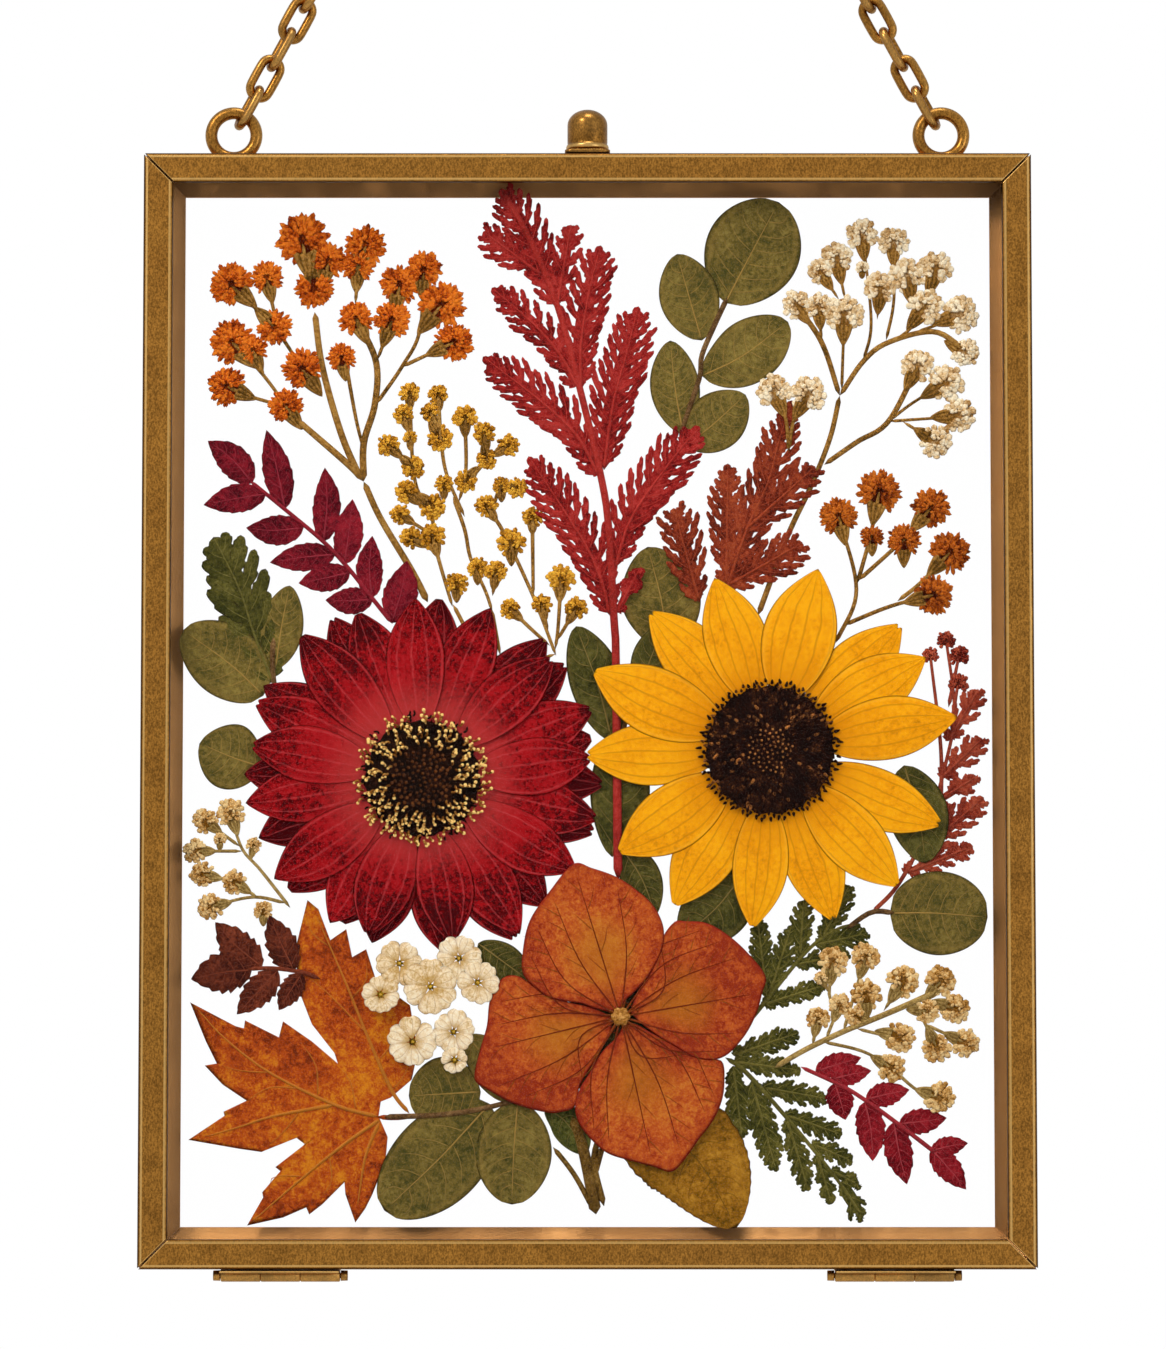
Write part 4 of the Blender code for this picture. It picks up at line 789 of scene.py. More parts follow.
GOLDENROD_STEMS = [
    [(431, 538), (441, 574), (452, 611)], [(452, 499), (464, 533), (470, 562), (485, 595), (492, 616)],
    [(464, 418), (465, 474), (458, 505)], [(485, 508), (500, 530), (513, 556), (535, 605), (556, 660)],
    [(532, 519), (533, 600)], [(561, 581), (558, 631), (555, 654)], [(577, 611), (556, 646)],
    [(509, 612), (533, 635), (550, 650)], [(408, 393), (412, 471), (420, 500), (433, 511)],
    [(437, 395), (440, 442), (446, 478), (464, 520)], [(386, 447), (413, 471)], [(404, 494), (433, 520)],
    [(509, 447), (486, 463), (464, 490)], [(518, 491), (501, 488), (490, 520)], [(398, 517), (431, 538)],
    [(483, 434), (488, 462)], [(541, 607), (548, 636)], [(496, 574), (492, 600)], [(409, 540), (436, 556)],
    [(402, 415), (411, 450)], [(428, 413), (438, 430)], [(433, 511), (431, 538)],
    [(452, 608), (478, 650), (520, 668), (556, 658)], [(491, 612), (500, 660)],
]
CREAM_TOP_HEADS = [
    (865, 232, 17), (897, 239, 16), (839, 256, 17), (822, 270, 14), (940, 266, 18), (910, 273, 19), (884, 286, 17),
    (797, 303, 15), (821, 305, 15), (847, 312, 20), (930, 305, 19), (966, 314, 19), (970, 354, 15), (922, 365, 18),
    (951, 383, 19), (964, 417, 18), (941, 445, 17), (865, 266, 7),
]
CREAM_TOP_TRUNKS = [
    [(842, 397), (832, 440), (813, 488), (789, 539), (759, 619)], [(842, 397), (824, 343), (797, 303)],
    [(842, 397), (866, 362), (891, 343), (937, 332), (968, 350)], [(826, 467), (859, 444), (891, 423), (922, 365)],
]
CREAM_TOP_TWIGS = [
    [(824, 343), (821, 305)], [(844, 391), (847, 312)], [(866, 362), (874, 322), (866, 235)],
    [(889, 341), (897, 300), (897, 239)], [(899, 341), (918, 320), (910, 273)], [(918, 333), (966, 316)],
    [(891, 423), (916, 404), (951, 383)], [(891, 423), (962, 418)], [(905, 423), (941, 445)],
    [(839, 256), (848, 300)], [(822, 270), (842, 300)], [(884, 286), (880, 320)], [(925, 318), (940, 268)],
    [(930, 305), (912, 328)],
]
CREAM_LEFT_HEADS = [
    (229, 816, 15), (203, 825, 13), (193, 856, 13), (200, 879, 13), (232, 886, 13), (208, 912, 14), (253, 849, 8),
    (263, 914, 10), (219, 843, 7),
]
CREAM_LEFT_STEMS = [
    [(290, 913), (260, 875), (241, 853), (229, 816)], [(242, 856), (193, 856)],
    [(240, 852), (203, 825)], [(286, 908), (252, 902), (208, 912)], [(258, 903), (232, 886)],
    [(232, 886), (200, 879)], [(253, 849), (250, 866)],
]
CREAM_LOW_HEADS = [
    (833, 964, 16), (820, 982, 7), (866, 960, 15), (866, 997, 16), (840, 1008, 12), (818, 1022, 12), (854, 1021, 11),
    (904, 984, 17), (942, 984, 16), (928, 1016, 13), (956, 1014, 16), (901, 1042, 16), (937, 1054, 15),
    (966, 1048, 15), (892, 1073, 15), (940, 1102, 16),
]
CREAM_LOW_TRUNKS = [[(774, 1072), (805, 1054), (843, 1036), (870, 1025), (901, 1012), (937, 996)]]
CREAM_LOW_TWIGS = [
    [(883, 1016), (904, 984)], [(812, 1050), (818, 1022)], [(825, 1045), (840, 1008)], [(843, 1036), (866, 960)],
    [(836, 1010), (829, 1000), (833, 964)], [(830, 998), (820, 982)], [(856, 1033), (888, 1041)],
    [(905, 1014), (928, 1016)], [(925, 1004), (942, 984)], [(925, 1004), (956, 1014)], [(914, 1006), (937, 1054)],
    [(923, 1028), (966, 1048)], [(822, 1046), (863, 1056), (892, 1073)], [(892, 1073), (916, 1094), (940, 1102)],
]
RUSSET_HEADS = [
    (882, 492, 22), (840, 517, 19), (874, 539, 12), (906, 542, 17), (935, 509, 20), (954, 554, 21), (938, 598, 20),
]
RUSSET_STEMS = [
    [(837, 647), (858, 594), (840, 517)], [(859, 587), (872, 540), (882, 492)], [(860, 584), (906, 542), (935, 509)],
    [(845, 629), (892, 610), (938, 598)], [(899, 605), (922, 587), (954, 554)],
]
CRIMSON_RACHIS = [
    (500, 187), (528, 236), (557, 306), (581, 395), (602, 484), (609, 534), (614, 622), (616, 662), (618, 886),
]
CRIMSON_FRONDS = [
    ([(557, 306), (528, 236), (500, 187)], 45), ([(541, 275), (482, 231)], 33),
    ([(578, 390), (561, 358), (535, 327), (491, 288)], 35),
    ([(600, 481), (578, 440), (546, 408), (482, 358)], 45),
    ([(610, 620), (602, 586), (587, 551), (568, 520), (528, 459)], 48), ([(557, 306), (571, 224)], 30),
    ([(581, 392), (581, 345), (589, 293), (601, 245)], 45),
    ([(604, 473), (613, 408), (626, 358), (639, 307)], 50),
    ([(615, 572), (633, 519), (677, 457), (701, 429)], 50), ([(616, 618), (640, 572)], 20),
]
RUST_STEM = [(727, 586), (714, 618), (704, 640)]
RUST_FRONDS = [
    ([(700, 606), (674, 511)], 41), ([(727, 590), (729, 466)], 34),
    ([(725, 600), (748, 532), (769, 486), (780, 445), (794, 402)], 42), ([(743, 536), (817, 469)], 38),
    ([(727, 590), (804, 546)], 40),
]
EDGE_FERN_STEMS = [
    [(872, 918), (899, 889), (927, 835), (948, 764), (956, 713), (948, 643)], [(942, 812), (942, 751), (932, 659)],
    [(950, 712), (961, 659)], [(952, 735), (960, 686)],
]
EDGE_FERN_FRONDS = [
    ([(950, 745), (980, 694)], 24), ([(942, 783), (984, 743)], 26), ([(934, 809), (978, 781)], 20),
    ([(912, 864), (985, 802)], 30), ([(905, 878), (974, 851)], 22), ([(930, 855), (951, 808)], 16),
]
EDGE_FERN_HEADS = [(948, 643, 10), (932, 659, 9), (961, 659, 11), (960, 686, 11)]
GREEN_FERN_STEM = [(725, 1062), (745, 1076), (789, 1125), (834, 1180), (860, 1218)]
GREEN_FERN_FRONDS = [
    ([(733, 1070), (742, 1143)], 29), ([(751, 1085), (776, 1176)], 29), ([(786, 1121), (808, 1195)], 24),
    ([(816, 1157), (831, 1208)], 18), ([(733, 1066), (801, 1075)], 22), ([(762, 1092), (827, 1103)], 26),
    ([(785, 1119), (842, 1139)], 24), ([(811, 1148), (852, 1165)], 20), ([(831, 1174), (858, 1189)], 16),
    ([(840, 1186), (862, 1221)], 24), ([(733, 1060), (799, 1037)], 24),
]
UPPER_FERN_STEM = [(745, 1030), (759, 1014), (807, 956), (838, 934), (861, 929)]
UPPER_FERN_FRONDS = [
    ([(762, 1010), (827, 989)], 20), ([(768, 1004), (792, 930)], 24), ([(800, 962), (804, 905)], 24),
    ([(795, 970), (850, 958)], 22), ([(815, 950), (868, 938)], 26), ([(822, 944), (850, 890)], 26),
    ([(767, 1000), (757, 920)], 24),
]
MAROON_STEM = [(247, 483), (285, 514), (323, 546), (348, 573), (371, 602), (392, 628)]
MAROON_LEAVES = [
    ((250, 486), (205, 443), 29), ((264, 497), (201, 508), 27), ((283, 512), (264, 432), 27),
    ((302, 531), (244, 531), 28), ((322, 545), (323, 470), 26), ((343, 568), (351, 502), 27),
    ((334, 558), (268, 566), 26), ((349, 576), (297, 587), 26), ((372, 603), (324, 604), 25),
    ((371, 602), (371, 539), 25), ((391, 627), (406, 564), 32),
]
MAROON_LOW_STEM = [(800, 1071), (843, 1091), (870, 1108), (896, 1127), (930, 1153), (936, 1158)]
MAROON_LOW_LEAVES = [
    ((815, 1076), (861, 1062), 22), ((830, 1084), (871, 1075), 20), ((834, 1087), (845, 1124), 26),
    ((865, 1104), (909, 1094), 23), ((864, 1106), (872, 1165), 28), ((893, 1126), (906, 1188), 27),
    ((898, 1128), (946, 1122), 24), ((930, 1155), (967, 1147), 19), ((930, 1153), (965, 1193), 24),
]
BROWN_STEM = [(246, 974), (272, 973), (302, 977), (321, 984)]
BROWN_LEAVES = [
    ((262, 972), (215, 927), 33), ((294, 976), (269, 920), 31), ((252, 975), (191, 984), 40),
    ((278, 975), (237, 1019), 29), ((302, 978), (279, 1015), 23),
]
MAPLE_OUTLINE = [
    (190, 1007), (225, 1028), (244, 1033), (245, 1025), (279, 1042), (283, 1026), (312, 1046), (338, 1068),
    (334, 1056), (312, 1029), (297, 991), (296, 950), (307, 905), (318, 914), (330, 945), (346, 934), (352, 962),
    (366, 954), (376, 985), (410, 1010), (418, 1055), (412, 1084), (391, 1102), (381, 1106), (379, 1120), (381, 1125),
    (388, 1141), (386, 1165), (373, 1198), (366, 1212), (356, 1226),
    (346, 1198), (345, 1186), (323, 1208), (310, 1218), (307, 1211), (284, 1221), (248, 1229), (264, 1201),
    (263, 1196), (281, 1175), (276, 1171), (299, 1155), (305, 1148), (297, 1142), (262, 1156), (241, 1153),
    (189, 1144), (225, 1120), (224, 1116), (247, 1105), (223, 1089), (205, 1070), (217, 1068), (206, 1046),
]
FLORETS = [
    (400, 968, 23), (381, 999, 19), (431, 991, 28), (459, 963, 23), (478, 987, 21), (413, 1046, 25),
    (454, 1036, 22), (455, 1064, 13),
]
STEM_BUNDLE = [
    ([(572, 1120), (580, 1141), (588, 1175), (596, 1218)], 11), ([(553, 1151), (574, 1178), (593, 1212)], 5),
    ([(599, 1140), (594, 1167), (604, 1210)], 6), ([(603, 1148), (594, 1180)], 6),
]
CREAM_PAIR = [(775, 391, 18), (811, 394, 19)]
# Each single leaf's line from base to tip, and its width.
SINGLE_LEAVES = {
    "leaf_lower_left": ([(262, 772), (198, 748)], 62), "leaf_above_gerbera": ([(612, 745), (598, 690), (576, 630)], 50),
    "leaf_above_centre": ([(668, 655), (648, 550)], 74), "leaf_right": ([(905, 770), (926, 868)], 56),
    "leaf_under_sunflower": ([(748, 872), (680, 944)], 62), "leaf_beside_hydrangea": ([(478, 948), (530, 986)], 34),
}
CREAM_PAIR_STEMS = [[(775, 391), (787, 420), (790, 455)], [(811, 394), (796, 420), (790, 455)]]
GOLDEN_ANGLE = 2.399963
GERBERA_DISC, SUNFLOWER_DISC = 64, 68
# How far forward each petal lies over its neighbours, from 0 to 3, in the order of its tips.
GERBERA_OVERLAP = [2, 0, 3, 0, 2, 0, 2, 1, 3, 2, 0, 2, 0, 2, 0, 2, 1]
SUNFLOWER_WIDTHS = [74, 62, 62, 64, 60, 60, 60, 56, 62, 66, 62, 66, 62, 64]
SUNFLOWER_OVERLAP = [2, 0, 1, 2, 0, 1, 0, 1, 0, 1, 0, 1, 0, 1]
# The hydrangea's sepals: outline, tip and how far forward it lies.
SEPALS = [
    ([(630, 1016), (638, 995), (650, 978), (661, 945), (674, 927), (686, 926), (707, 928), (728, 940), (747, 957),
      (765, 980), (762, 997), (756, 1018), (745, 1039), (728, 1058), (712, 1064), (693, 1061), (674, 1050),
      (653, 1037), (638, 1025)], (752, 1000), 1),
    ([(623, 1030), (617, 1041), (602, 1056), (592, 1073), (580, 1092), (575, 1110), (579, 1127), (592, 1144),
      (608, 1157), (630, 1164), (653, 1170), (671, 1175), (684, 1163), (699, 1142), (712, 1125), (721, 1106),
      (724, 1087), (722, 1066), (707, 1062), (680, 1052), (655, 1039), (634, 1028)], (650, 1165), 0),
    ([(612, 1022), (592, 1012), (560, 1004), (535, 990), (515, 980), (500, 985), (490, 1005), (487, 1030), (480, 1055),
      (475, 1083), (490, 1095), (515, 1108), (545, 1116), (560, 1116), (575, 1110), (581, 1087), (600, 1056),
      (610, 1037)], (495, 1055), -1),
    ([(621, 1012), (625, 1005), (638, 993), (650, 978), (661, 957), (664, 942), (662, 927), (653, 910), (638, 896),
      (617, 882), (592, 873), (573, 869), (549, 897), (530, 925), (523, 955), (524, 980), (545, 1000), (560, 1005),
      (581, 1008), (592, 1012), (610, 1016)], (585, 880), 2),
]
HYDRANGEA_CALYX = [
    (560, 990), (600, 960), (650, 960), (690, 1010), (680, 1050), (640, 1082), (600, 1098), (578, 1090), (585, 1040),
]
EUCALYPTUS_TOP = [
    ([(727, 303), (748, 262), (781, 200)], 96, 0.52, 0.5), ([(703, 341), (690, 296), (678, 253)], 60, 0.5, 0.6),
    ([(703, 377), (742, 358), (790, 322)], 64, 0.52, 0.55), ([(684, 436), (676, 390), (671, 341)], 50, 0.5, 0.62),
    ([(686, 448), (712, 428), (747, 396)], 58, 0.5, 0.6),
]
EUCALYPTUS_TOP_STEM = [(729, 297), (716, 325), (703, 356), (701, 377), (690, 410), (680, 440)]
EUCALYPTUS_LOW = [
    ([(490, 1108), (440, 1162), (385, 1214)], 90, 0.5, 0.46), ([(518, 1106), (514, 1155), (512, 1208)], 76, 0.5, 0.5),
    ([(466, 1040), (492, 1070), (508, 1106)], 44, 0.5, 0.6), ([(481, 1096), (446, 1098), (409, 1100)], 74, 0.5, 0.5),
]
EUCALYPTUS_LOW_STEM = [(384, 1121), (440, 1119), (486, 1112), (530, 1100)]
EUCALYPTUS_RIGHT = [([(890, 918), (936, 918), (988, 922)], 84, 0.5, 0.42)]
EUCALYPTUS_RIGHT_STEM = [(896, 918), (872, 917), (846, 934)]
GREEN_SPRIG_LEAVES = [
    ([(274, 673), (280, 630), (288, 589)], 44, 0.48, 0.62), ([(262, 700), (228, 668), (181, 634)], 72, 0.48, 0.5),
]
LEAVES_BETWEEN = [
    ([(612, 862), (620, 800), (618, 728)], 60, 0.5, 0.7), ([(616, 846), (640, 880), (656, 920)], 40, 0.5, 0.7),
    ([(637, 697), (652, 660), (664, 626)], 38, 0.5, 0.7),
]
MAPLE_VEINS = [
    [(379, 1121), (335, 1109), (270, 1077), (225, 1043), (196, 1012)],
    [(410, 1118), (392, 1095), (366, 1037), (345, 986), (316, 920)],
    [(335, 1109), (275, 1120), (240, 1131), (205, 1141)], [(381, 1123), (345, 1148), (305, 1180), (252, 1226)],
    [(380, 1125), (366, 1160), (358, 1210)],
]
MAPLE_SIDE_VEINS = [
    [(300, 1093), (270, 1092), (246, 1106)], [(270, 1077), (240, 1075), (222, 1070)],
    [(318, 1101), (316, 1070), (300, 1046)], [(356, 1115), (352, 1090), (342, 1072)],
    [(366, 1037), (330, 1000), (306, 980)], [(378, 1066), (398, 1040), (404, 1016)],
    [(352, 1003), (366, 985), (366, 966)], [(330, 952), (312, 938), (306, 922)],
    [(305, 1180), (276, 1180), (270, 1190)], [(330, 1160), (332, 1185), (322, 1200)],
    [(300, 1115), (285, 1135), (268, 1150)], [(392, 1095), (404, 1080), (410, 1066)],
]

# How pinnate shapes a frond's lobes: angle, fatness, teeth, bite, belly, rachis, step and web.
GREEN_LOBES = (0.66, 0.8, 3, 0.5, 0.4, 3.0, 12.0, 0.58)
RED_LOBES = (0.66, 0.66, 3, 0.5, 0.42, 3.4, 16.0, 0.34)
# The share of a half turn that a head leaves open at its stem.
GAP = 0.35
# A head's petals, ring by ring: (count, reach, petal width, how far forward in mm).
TIGHT = [
    (32, 1.06, 0.19, 0.0), (30, 0.92, 0.18, 0.08), (26, 0.78, 0.17, 0.16), (20, 0.63, 0.17, 0.24),
    (14, 0.48, 0.17, 0.32), (9, 0.32, 0.17, 0.4),
]
SMALL = [(14, 1.04, 0.36, 0.0), (12, 0.8, 0.32, 0.12), (8, 0.55, 0.3, 0.24), (5, 0.34, 0.28, 0.34)]
PAPERY = [(15, 1.04, 0.38, 0.0), (12, 0.8, 0.34, 0.12), (9, 0.58, 0.3, 0.24), (5, 0.36, 0.26, 0.34)]


class PetalSettings(bpy.types.PropertyGroup):
    """Colours of the bouquet."""

    crimson: colour("Crimson petals", "#9C1016", "The gerbera's petals")
    yellow: colour("Yellow petals", "#EE9C08", "The sunflower's petals")
    burnt: colour("Burnt orange", "#B95221", "The hydrangea's sepals")
    orange: colour("Orange florets", "#B84C0C", "The orange sprays")
    gold: colour("Golden florets", "#B87A1C", "The goldenrod")
    cream: colour("Cream florets", "#DDBB88", "The cream sprays")
    fern_red: colour("Crimson fern", "#94201E", "The red fern")
    rust: colour("Rust fern", "#84301C", "The rust ferns")
    maroon: colour("Maroon leaves", "#6E1420", "The maroon sprigs")
    green: colour("Green leaves", "#6E5E2B", "The eucalyptus and the round leaves")
    maple: colour("Maple leaf", "#B24A16", "The maple leaf")
    stem: colour("Stems", "#94682C", "The dry stems")


def layer_depth(node, share=0.5):
    """The depth of a pressed piece's layer: 0 is its back and 1 its front."""
    low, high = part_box(node)
    return high[1] + (low[1] - high[1]) * share


def bud(centre, radius, depth, height, tint=0.5, rows=6, around=7, power=1.0, ripple=0.0, along=0.9):
    """A small round seed, or a disc's low dome: rings of points whose reach is radius sin^power, waved by ripple."""
    turn, fall = turns(around), np.linspace(0, math.pi, rows)[:, None]
    ring = np.where((fall > 0.01) & (fall < 3.14), np.sin(fall), 0)
    reach = radius * ring**power + ripple * np.sin(turn * 19) * ring
    view = np.stack([centre[0] + reach * np.cos(turn), centre[1] + reach * np.sin(turn)], axis=-1)
    return grid(in_space(view, depth - height * np.cos(fall) * np.ones_like(turn)), 0.5, along, tint)


def seed_bed(centre, radius, back, front):
    """The low dome that seeds and stamens stand on."""
    return bud(centre, radius, (front + back) / 2, (back - front) / 2, 0.15, 18, 60, 0.6, 1.5, 0.0)


def ring_of_petals(centre, tips, widths, inner, depth, levels, rng, tint=0.7, **shape):
    """Blades from a flower's middle to each tip, each bent a little and lying over or under its neighbours."""
    made = []
    cx, cy = centre
    for number, (x, y) in enumerate(tips):
        reach = math.hypot(x - cx, y - cy)
        ahead = ((x - cx) / reach, (y - cy) / reach)
        start = (cx + ahead[0] * inner, cy + ahead[1] * inner)
        lean = rng.uniform(-3, 3)
        middle = ((start[0] + x) / 2 - ahead[1] * lean, (start[1] + y) / 2 + ahead[0] * lean)
        notch = rng.choice([0.0, 3.0, 6.0])
        made.append(blade(
            [start, middle, (x, y)], widths[number] * rng.uniform(0.98, 1.04), depth - levels[number] * 0.16 * MM,
            36, 32, thick=0.06 * MM, notch=notch, cup=0.09 * MM, tilt=0.03 * MM, ruffle=0.015 * MM,
            seed=number * 0.37, tint=tint + rng.uniform(-0.08, 0.08), lip=0.04 * MM, **shape,
        ))
    return made


class FLOWER_OT_gerbera(bpy.types.Operator):
    """Builds the crimson gerbera: two rings of petals and its disc of stamens"""

    bl_idname = "flower.gerbera"
    bl_label = "Gerbera"

    def execute(self, context):
        look = context.scene.flower_petals
        # The rim colour is a painted highlight along each petal's edge, inside its painted shadow line.
        petal = dried(
            "crimson_petal_skin", "#3E0206", look.crimson, "#AE1A20", "#C4484A",
            "#B83C3A", 1100, 0.34, 4, -0.62, 0.72, 0.6, "#B42A2E", "#C44548",
        )
        rng = np.random.default_rng(3)
        for name, tips, width, inner, levels in (
            ("front", GERBERA_FRONT_TIPS, 58, 44, GERBERA_OVERLAP),
            ("back", GERBERA_BACK_TIPS, 54, 58, [0, 1] * 8),
        ):
            depth = layer_depth(f"gerbera_{name}_petals", 0.25)
            # The back ring's lower tint is painted shade on the petals that lie behind the front ring.
            grids = ring_of_petals(
                GERBERA, tips, [width] * len(tips), inner, depth, levels, rng, 0.7 if name == "front" else 0.5,
                belly=0.54, fullness=0.6, point=0.85,
            )
            if name == "back":
                cx, cy = GERBERA
                # A dark sheet behind the back ring: painted shade in the gaps between its petals.
                grids.append(blade([(cx - 80, cy), (cx + 80, cy)], 160, depth, 30, 40, 0.5, 0.5, 0.05 * MM, tint=-0.2))
            add_piece(f"gerbera_{name}_ring", grids, petal, [f"gerbera_{name}_petals"])
        self.add_disc(rng)
        return {"FINISHED"}

    def add_disc(self, rng):
        """Stamens at golden-angle places on a low dome, the outer ones gold and the inner ones almost black."""
        back, front = layer_depth("gerbera_disc", 0), layer_depth("gerbera_disc", 1)
        gold = dried(
            "gold_stamen", "#3A1806", "#9A5E1C", "#F8D27E", "#F6D48A", None, 2600, tip=0.55, rough=0.5,
        )
        black = dried(
            "dark_stamen", "#0E0603", "#2A1209", "#6A3C1A", "#6A4020", None, 2600, tip=0.3, rough=0.6,
        )
        inner, outer = [seed_bed(GERBERA, 58, back, back + (front - back) * 0.55)], []
        for number in range(470):
            radius = GERBERA_DISC * math.sqrt((number + 0.5) / 470)
            angle = number * GOLDEN_ANGLE + rng.uniform(-0.1, 0.1)
            x, y = polar(GERBERA, radius, angle)
            share = radius / GERBERA_DISC
            dome = back + (front - back) * (0.6 + 0.2 * (1 - share**2))
            if share < 0.48:
                inner.append(bud((x, y), 1.5 + share, dome, 0.12 * MM, rng.uniform(0.2, 0.7)))
                continue
            way = angle + rng.uniform(-0.9, 0.9)
            reach = rng.uniform(4, 7.5)
            bend, tip = polar((x, y), reach * 0.5, way + 0.5), polar((x, y), reach, way)
            dull = rng.uniform(0, 1) < 0.25
            rise = (back - front) * (0.2 - 0.2 * share + rng.uniform(0.05, 0.25))
            tint = 0.1 if dull else rng.uniform(0.25, 0.6)
            stamen = stalk([(x, y), bend, tip], 2.3, dome, 2.0, 8, 6, 1.0, tint, 0.0, rise)
            (inner if dull else outer).append(stamen)
            if not dull:
                outer.append(bud(tip, rng.uniform(1.3, 2.1), dome - rise, 0.14 * MM, 0.95))
        add_piece("gerbera_heart", inner, black, ["gerbera_disc"])
        add_piece("gerbera_stamens", outer, gold, [])


class FLOWER_OT_sunflower(bpy.types.Operator):
    """Builds the sunflower: one ring of petals and its disc of seeds"""

    bl_idname = "flower.sunflower"
    bl_label = "Sunflower"

    def execute(self, context):
        look = context.scene.flower_petals
        # The rim colour is a painted highlight along each petal's edge, inside its painted shadow line.
        petal = dried(
            "yellow_petal_skin", "#C87C06", look.yellow, "#F8AE10", "#B86E08",
            "#D98606", 1000, 0.5, 5, 0.0, 0.72, 0.5, "#F6B832",
        )
        rng = np.random.default_rng(8)
        depth = layer_depth("sunflower_petals", 0.3)
        grids = ring_of_petals(
            SUNFLOWER, SUNFLOWER_TIPS, SUNFLOWER_WIDTHS, 48, depth, SUNFLOWER_OVERLAP, rng, belly=0.5, fullness=0.6,
            point=0.85,
        )
        add_piece("sunflower_ring", grids, petal, ["sunflower_petals"])
        self.add_disc(rng)
        return {"FINISHED"}

    def add_disc(self, rng):
        """Spikes and seeds at golden-angle places: dark with some copper ones, and fine tan seeds in the middle."""
        back, front = layer_depth("sunflower_disc", 0), layer_depth("sunflower_disc", 1)
        skin = dried(
            "sunflower_seed", "#140705", "#30150B", "#C07A3C", "#D9A066", None, 2600, tip=0.25, rough=0.55,
        )
        seeds = [seed_bed(SUNFLOWER, 64, back, back + (front - back) * 0.5)]
        for number in range(600):
            radius = SUNFLOWER_DISC * math.sqrt((number + 0.5) / 600)
            angle = number * GOLDEN_ANGLE
            x, y = polar(SUNFLOWER, radius, angle)
            share = radius / SUNFLOWER_DISC
            dome = back + (front - back) * (0.64 + 0.16 * (1 - share**2))
            if share < 0.34:
                seeds.append(bud((x, y), 1.25, dome, 0.1 * MM, rng.uniform(0.3, 0.9)))
                continue
            way = angle + rng.uniform(-0.5, 0.5)
            reach = rng.uniform(4.0, 7.5)
            tip = polar((x, y), reach, way)
            bright = 0.6 if rng.uniform(0, 1) < 0.14 else rng.uniform(0.02, 0.3)
            rise = (back - front) * rng.uniform(0.03, 0.16)
            seeds.append(stalk([(x, y), tip], 4.2, dome, 1.6, 7, 6, 0.8, bright, 0.0, rise))
        add_piece("sunflower_heart", seeds, skin, ["sunflower_disc"])


def smooth_loop(outline, count):
    """That many points of a smooth closed curve through an outline."""
    return spline(outline + outline[:1], np.linspace(0, 1, count, endpoint=False))[0].tolist()


def fan_of_veins(foot, outline, tip, depth):
    """Veins that leave a sepal's foot in a fan, bow outwards and end near its rim, each with five fine branches.

    A vein ends at 0.93 of the way to the outline in its direction, and bows away from the midrib by its turn.
    """
    foot, tip, rim = np.array(foot, float), np.array(tip, float), np.array(outline, float)
    reach = np.hypot(*(rim - foot).T)
    angles = np.arctan2(*(rim - foot).T[::-1])
    middle = math.atan2(*(tip - foot)[::-1])
    away = (angles - middle + math.pi) % math.tau - math.pi
    made = []
    for turn in (-0.72, -0.46, -0.22, 0.0, 0.22, 0.46, 0.72):
        near = np.argmin(np.abs(away - turn) - reach * 1e-4)
        end = foot + (rim[near] - foot) * 0.93
        bow = foot + (end - foot) * 0.5 + np.array([-math.sin(middle + turn), math.cos(middle + turn)]) * turn * 34
        made.append(stalk([foot, bow, end], 1.9, depth, 0.5, 16, 6, vein=0.7))
        way = spline([foot, bow, end], np.array([0.3, 0.45, 0.6, 0.75, 0.87]))[0]
        for number, place in enumerate(way):
            side = math.copysign(1, turn or (number % 2) - 0.5)
            heading = math.atan2(*(end - foot)[::-1]) + side * 0.55
            out = place + np.array([math.cos(heading), math.sin(heading)]) * reach[near] * 0.17
            made.append(stalk([place, (place + out) / 2 + side, out], 1.2, depth, 0.4, 6, 5, vein=0.55))
    return made


